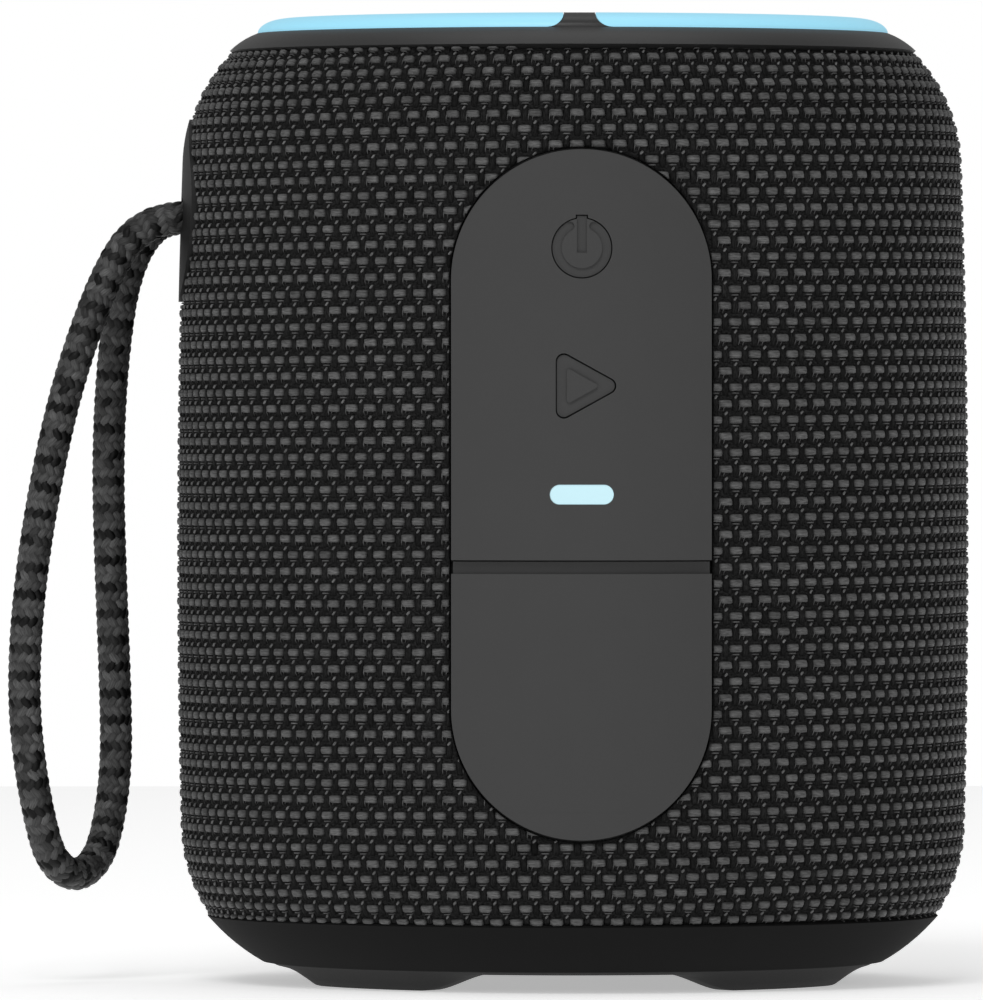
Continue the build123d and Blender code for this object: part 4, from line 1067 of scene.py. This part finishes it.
    def places(
        self, row: Row, half: bool = False, drop_mm: float = 0.0, step_mm: float = 0.0
    ) -> tuple[np.ndarray, np.ndarray]:
        """Where the floats of one kind of row are.

        Args:
            row: The kind of row.
            half: Whether to step half a float sideways, onto the warp between floats.
            drop_mm: How far below the float's middle.
            step_mm: How far to the side of it.

        Returns:
            Angles and runs.
        """
        pitch = 2 * math.pi / self.columns
        shift = 0.5 * ((row is Row.BARRED) != half)
        turned = (self.turn_mm + step_mm) / self.barrel.belly_radius_mm
        around = (np.arange(self.columns) + shift) * pitch + turned
        middles = (np.arange(row.value, self.rows + 2, 2) + 0.5) * self.run_mm / self.rows
        run = middles - drop_mm - self.sag_mm
        angles, runs = np.tile(around, len(run)), np.repeat(run, len(around))
        runs = runs + self.skew_mm * np.sin(angles)
        inside = (runs > -self.overrun_mm) & (runs < self.run_mm + self.overrun_mm)
        return angles[inside], runs[inside]

    def ground(self) -> bpy.types.Object:
        """Makes the sheet under the floats, cut at the holes and given its thickness."""
        across, up = 2 * self.columns, 2 * self.rows
        around = np.tile(np.arange(across) * 2 * math.pi / across, up + 1)
        run = np.repeat(np.linspace(0, self.run_mm, up + 1), across)
        turned, risen, outside = self.trimmed(around, run)
        points = self.place(turned, risen, np.full(len(around), -self.ground_depth_mm))
        first = np.array([i * across + j for i in range(up) for j in range(across)])
        right = first - first % across + (first + 1) % across
        quads = np.stack([first, right, right + across, first + across], axis=1)
        quads = quads[(outside[quads] > 0).any(axis=1)]
        used, faces = np.unique(quads, return_inverse=True)
        flat = np.stack([around * self.barrel.belly_radius_mm, run], axis=1)
        sheet = mesh_object(
            "grille_cloth", points[used], faces.reshape(-1, 4), flat[used], np.full(len(used), 0.5)
        )
        bpy.context.view_layer.objects.active = sheet
        thickness = sheet.modifiers.new("thickness", "SOLIDIFY")
        thickness.thickness = self.ground_mm * MM
        thickness.offset = -1.0
        bpy.ops.object.modifier_apply(modifier=thickness.name)
        return sheet

    def build(self) -> list[bpy.types.Object]:
        """Returns:
            Its pieces, the sheet first.
        """
        sheet = self.ground()
        dress(sheet, CLOTH.material())
        yarns = []
        for row in Row:
            piece = self.scatter(f"weft_{row.name.lower()}", [(WEFT_FLOATS[row], *self.places(row))], 0.8)
            dress(piece, WEFT.material())
            yarns.append(piece)
        warp = self.scatter("warp_floats", [(WARP_FLOAT, *self.places(row, half=True)) for row in Row], 0.5)
        dress(warp, WARP.material())
        small = [(STITCHES[row], *self.places(row, drop_mm=self.stitch_drop_mm)) for row in Row]
        stitches = self.scatter("binding_stitches", small, 1.0)
        dress(stitches, STITCH.material())
        thin = [(BINDERS[row], *self.places(row, drop_mm=self.binder_drop_mm)) for row in Row]
        thin.append((TAIL, *self.places(Row.LOOPED, drop_mm=self.tail_drop_mm, step_mm=self.tail_step_mm)))
        binders = self.scatter("binder_yarns", thin, 0.6)
        dress(binders, STITCH.material())
        yarns += [warp, stitches, binders]
        for piece in [sheet, *yarns]:
            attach(piece, "housing")
            log.info("built %s with %d faces", piece.name, len(piece.data.polygons))
        panel, disc = self.holes
        cut = (panel.high_mm - panel.low_mm) * 2 * panel.radius_mm + math.pi * panel.radius_mm**2
        cut += math.pi * disc.radius_mm**2
        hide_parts("grille_fabric")
        return [sheet, *yarns]


# ---------------------------------------------------------------- the lanyard

# The cord's route, the same points as in the part's source, in metres.
CORD_ROUTE = [
    (-0.03784, -0.0026, 0.0832),
    (-0.0436, -0.0026, 0.0832),
    (-0.0479, -0.0029, 0.0812),
    (-0.0506, -0.0036, 0.0766),
    (-0.0530, -0.0045, 0.0704),
    (-0.0552, -0.0055, 0.0632),
    (-0.0570, -0.0065, 0.0550),
    (-0.0584, -0.0071, 0.0466),
    (-0.0593, -0.0074, 0.0382),
    (-0.0595, -0.0073, 0.0304),
    (-0.0589, -0.0072, 0.0240),
    (-0.0579, -0.0062, 0.0182),
    (-0.0566, -0.0041, 0.0132),
    (-0.0539, 0.0003, 0.0112),
    (-0.0514, 0.0045, 0.0133),
    (-0.0502, 0.0065, 0.0182),
    (-0.0496, 0.0072, 0.0240),
    (-0.0497, 0.0074, 0.0310),
    (-0.0500, 0.0073, 0.0388),
    (-0.0503, 0.0071, 0.0468),
    (-0.0505, 0.0065, 0.0548),
    (-0.0503, 0.0056, 0.0626),
    (-0.0497, 0.0046, 0.0698),
    (-0.0487, 0.0036, 0.0762),
    (-0.0467, 0.0029, 0.0809),
    (-0.0437, 0.0026, 0.0832),
    (-0.03784, 0.0026, 0.0832),
]


@dataclass
class Lanyard:
    """The braided cord: ten strands each way over a core, on the NURBS route.

    Attributes:
        diameter_mm: Thickness over the braid.
        length_mm: Length of the route; not used.
        strands: Strands that turn one way.
        lay_mm: Length in which a strand goes once round.
        relief_mm: How far a strand rises and dips.
        steps_per_crossing: Mesh steps from one crossing to the next.
        offsets: Places across a strand, as shares of half its width.
        drops_mm: How much lower each of them lies than the strand's middle.
        dark_every: One crossing in so many is dyed dark.
        dark_tone: Tone of a dark crossing.
        light_tone: Tone of the others.
        tone_spread: How much the dye differs from crossing to crossing.
        dip_shade: How much painted shade darkens a strand where it dips under another.
        core_sink: Depth of the core under the braid's face, in reliefs.
        core_sides: Sides of the core.
        core_tone: Tone of the core.
        seed: Start of the random numbers.
    """

    diameter_mm: float = 3.6
    length_mm: float = 169.7
    strands: int = 10
    lay_mm: float = 19.4
    relief_mm: float = 0.1
    steps_per_crossing: int = 4
    offsets: tuple[float, ...] = (-1.0, -0.6, 0.0, 0.6, 1.0)
    drops_mm: tuple[float, ...] = (0.16, 0.03, 0.0, 0.03, 0.16)
    dark_every: int = 3
    dark_tone: float = 0.05
    light_tone: float = 0.62
    tone_spread: float = 0.2
    dip_shade: float = 0.25
    core_sink: float = 2.2
    core_sides: int = 16
    core_tone: float = 0.3
    seed: int = 11

    def route(self) -> np.ndarray:
        """Reads the smooth line from a NURBS spline through the route's points.

        Returns:
            Points in metres, in order.
        """
        curve = bpy.data.curves.new("cord_route", "CURVE")
        curve.dimensions = "3D"
        curve.resolution_u = 24
        spline = curve.splines.new("NURBS")
        spline.points.add(len(CORD_ROUTE) - 1)
        for point, place in zip(spline.points, CORD_ROUTE):
            point.co = (*place, 1.0)
        spline.order_u = 3
        spline.use_endpoint_u = True
        holder = bpy.data.objects.new("cord_route", curve)
        bpy.context.scene.collection.objects.link(holder)
        bpy.context.view_layer.update()
        line = bpy.data.meshes.new_from_object(holder.evaluated_get(bpy.context.evaluated_depsgraph_get()))
        points = np.array([v.co for v in line.vertices])
        bpy.data.objects.remove(holder)
        bpy.data.meshes.remove(line)
        bpy.data.curves.remove(curve)
        return points

    def frames(
        self, line: np.ndarray, step: float
    ) -> tuple[np.ndarray, np.ndarray, np.ndarray, np.ndarray]:
        """Resamples the line and carries two side directions along it without twist.

        Args:
            line: The route's points.
            step: Distance between samples.

        Returns:
            Distances, points and the two side directions at each.
        """
        run = np.concatenate([[0], np.cumsum(np.linalg.norm(np.diff(line, axis=0), axis=1))])
        count = max(int(round(run[-1] / step)), 2)
        at = np.linspace(0, run[-1], count + 1)
        points = np.stack([np.interp(at, run, line[:, k]) for k in range(3)], axis=1)
        tangent = np.gradient(points, axis=0)
        tangent /= np.linalg.norm(tangent, axis=1)[:, None]
        side = np.zeros_like(points)
        side[0] = np.cross(tangent[0], (0, 1, 0))
        for i in range(1, len(points)):
            side[i] = side[i - 1] - tangent[i] * np.dot(side[i - 1], tangent[i])
            side[i] /= np.linalg.norm(side[i])
        return at, points, side, np.cross(tangent, side)

    def build(self) -> list[bpy.types.Object]:
        """Returns:
            The pieces, the braid first.
        """
        line = self.route()
        crossing = self.lay_mm / (2 * self.strands)
        at, points, side, other = self.frames(line, crossing / self.steps_per_crossing * MM)
        radius = self.diameter_mm / 2
        slope = math.atan(2 * math.pi * radius / self.lay_mm)
        half = math.pi * radius / self.strands * math.cos(slope)
        offsets, drops = np.array(self.offsets), np.array(self.drops_mm)
        wide = len(offsets)
        random = np.random.default_rng(self.seed)
        vertices, faces, maps, tones = [], [], [], []
        count = 0
        beat = at / MM / crossing
        for hand in (1, -1):
            for strand in range(self.strands):
                angle = hand * math.pi * beat / self.strands + 2 * math.pi * strand / self.strands
                wave = hand * np.cos(math.pi * beat)
                level = radius - self.relief_mm + self.relief_mm * wave
                turn = offsets * half / math.cos(slope) / radius
                reach = level[:, None] - drops[None, :]
                spot = angle[:, None] + turn[None, :]
                ring = (
                    points[:, None]
                    + (reach * np.cos(spot) * MM)[..., None] * side[:, None]
                    + (reach * np.sin(spot) * MM)[..., None] * other[:, None]
                )
                vertices.append(ring.reshape(-1, 3))
                first = np.array([i * wide + j for i in range(len(at) - 1) for j in range(wide - 1)])
                first = first + count
                faces.append(np.stack([first, first + 1, first + wide + 1, first + wide], axis=1))
                lift = 0.5 * (1 - hand)
                row = (2 * np.round((beat - lift) / 2) + lift).astype(int)
                cells = random.normal(0, self.tone_spread, row.max() + 2)
                dark = row % self.dark_every == self.dark_every - 1
                tone = np.where(dark, self.dark_tone, self.light_tone)
                # Painted shade: a strand is darkened where it dips under another.
                dip = 1 - self.dip_shade + self.dip_shade * wave
                tone = np.clip((tone + cells[row]) * dip, 0, 1)
                tones.append(np.repeat(tone, wide))
                across = np.tile(offsets * half, len(at)) + 3 * strand
                maps.append(np.stack([np.repeat(at / MM, wide), across], axis=1))
                count += len(at) * wide
        braid = mesh_object(
            "lanyard_braid",
            np.concatenate(vertices),
            np.concatenate(faces),
            np.concatenate(maps),
            np.concatenate(tones),
        )
        dress(braid, BRAID.material())
        core = self.core(points, side, other, radius - self.core_sink * self.relief_mm)
        dress(core, CLOTH.material())
        for piece in (braid, core):
            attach(piece, "housing")
            log.info("built %s with %d faces", piece.name, len(piece.data.polygons))
        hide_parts("lanyard_cord")
        return [braid, core]

    def core(
        self, points: np.ndarray, side: np.ndarray, other: np.ndarray, radius: float
    ) -> bpy.types.Object:
        """Makes the closed core under the braid.

        Args:
            points: Points along the cord.
            side: One side direction at each.
            other: The other side direction at each.
            radius: The core's radius in millimetres.

        Returns:
            The core.
        """
        sides = self.core_sides
        spot = np.linspace(0, 2 * math.pi, sides, endpoint=False)
        ring = (
            points[:, None]
            + (radius * MM * np.cos(spot))[None, :, None] * side[:, None]
            + (radius * MM * np.sin(spot))[None, :, None] * other[:, None]
        )
        count = len(points)
        first = np.array([i * sides + j for i in range(count - 1) for j in range(sides)])
        right = first - first % sides + (first + 1) % sides
        quads = np.stack([first, right, right + sides, first + sides], axis=1)
        along = np.repeat(np.arange(count) * 0.25, sides)
        yarn = np.stack([along, np.tile(spot * radius, count)], axis=1)
        tone = np.full(count * sides, self.core_tone)
        return mesh_object("lanyard_core", ring.reshape(-1, 3), quads, yarn, tone)


# ---------------------------------------------------------------- the stage


@dataclass(frozen=True)
class Studio:
    """A plain pale floor, a white room, soft lights and the camera.

    Attributes:
        camera_place: Where the camera stands.
        camera_target: What it points at.
        lens_mm: Focal length.
        sensor_mm: Width of its sensor.
        room_glow: Strength of the even light from all sides.
        floor_side: Side of the square floor.
        light_target: What the lights point at.
        lights: Each light's name, place, side and watts.
    """

    camera_place: tuple[float, float, float] = (-0.0374, -1.6616, 0.0653)
    camera_target: tuple[float, float, float] = (-0.00882, 0.0002, 0.0523)
    lens_mm: float = 551.0
    sensor_mm: float = 36.0
    room_glow: float = 0.34
    floor_side: float = 1.6
    light_target: tuple[float, float, float] = (0, 0, 0.05)
    lights: tuple[tuple[str, tuple[float, float, float], float, float], ...] = (
        ("key", (-0.35, -1.25, 1.25), 0.7, 10),
        ("fill", (0.2, -1.7, 0.15), 0.9, 4),
        ("left", (-1.5, -0.9, 0.3), 0.7, 2),
        ("top", (0.0, 0.3, 1.3), 0.8, 2),
    )

    def aim(self, thing: bpy.types.Object, target: Sequence[float]) -> None:
        """Turns a light or camera towards a point."""
        thing.rotation_euler = (Vector(target) - thing.location).to_track_quat("-Z", "Y").to_euler()

    def camera(self) -> None:
        """Places the camera far off and slightly left, above the middle."""
        lens = bpy.data.cameras.new("camera")
        lens.lens = self.lens_mm
        lens.sensor_width = self.sensor_mm
        lens.clip_end = 50
        camera = bpy.data.objects.new("camera", lens)
        camera.location = self.camera_place
        self.aim(camera, self.camera_target)
        bpy.context.scene.collection.objects.link(camera)
        bpy.context.scene.camera = camera

    def light(self, name: str, place: Sequence[float], size: float, watts: float) -> None:
        """Hangs one soft square light that points at the speaker.

        Args:
            name: Its name.
            place: Where it hangs.
            size: Its side.
            watts: Its power.
        """
        lamp = bpy.data.lights.new(name, "AREA")
        lamp.size = size
        lamp.energy = watts
        holder = bpy.data.objects.new(name, lamp)
        holder.location = place
        self.aim(holder, self.light_target)
        bpy.context.scene.collection.objects.link(holder)

    def floor(self) -> None:
        """Lays the pale floor under the feet."""
        bpy.ops.object.select_all(action="DESELECT")
        bpy.ops.mesh.primitive_plane_add(size=self.floor_side, location=(0, 0, 0))
        floor = bpy.context.object
        floor.name = "floor"
        dress(floor, BACKDROP.material())

    def room(self) -> None:
        """Lights the white room evenly."""
        world = bpy.data.worlds.new("room")
        bpy.context.scene.world = world
        world.use_nodes = True
        world.node_tree.nodes.clear()
        path = add_node(world, "ShaderNodeLightPath")
        seen = add_node(world, "ShaderNodeBackground", {"Color": linear("#ffffff"), "Strength": 1.0})
        felt = add_node(
            world,
            "ShaderNodeBackground",
            {"Color": linear("#ffffff"), "Strength": self.room_glow},
        )
        both = add_node(
            world,
            "ShaderNodeMixShader",
            {},
            {0: path.outputs["Is Camera Ray"], 1: felt.outputs[0], 2: seen.outputs[0]},
        )
        add_node(world, "ShaderNodeOutputWorld", {}, {"Surface": both.outputs[0]})

    def build(self) -> None:
        """Sets the stage."""
        bpy.context.scene.view_settings.view_transform = "Standard"
        self.camera()
        self.room()
        self.floor()
        for name, place, size, watts in self.lights:
            self.light(name, place, size, watts)


def main() -> None:
    """Builds the stage and the speaker in order."""
    logging.basicConfig(level=logging.INFO, format="%(name)s: %(message)s")
    Studio().build()
    Lanyard().build()
    Housing().build()
    HingeWeb().build()
    FootRing().build()
    Contacts().build()
    GrilleCloth().build()


if __name__ == "__main__":
    main()
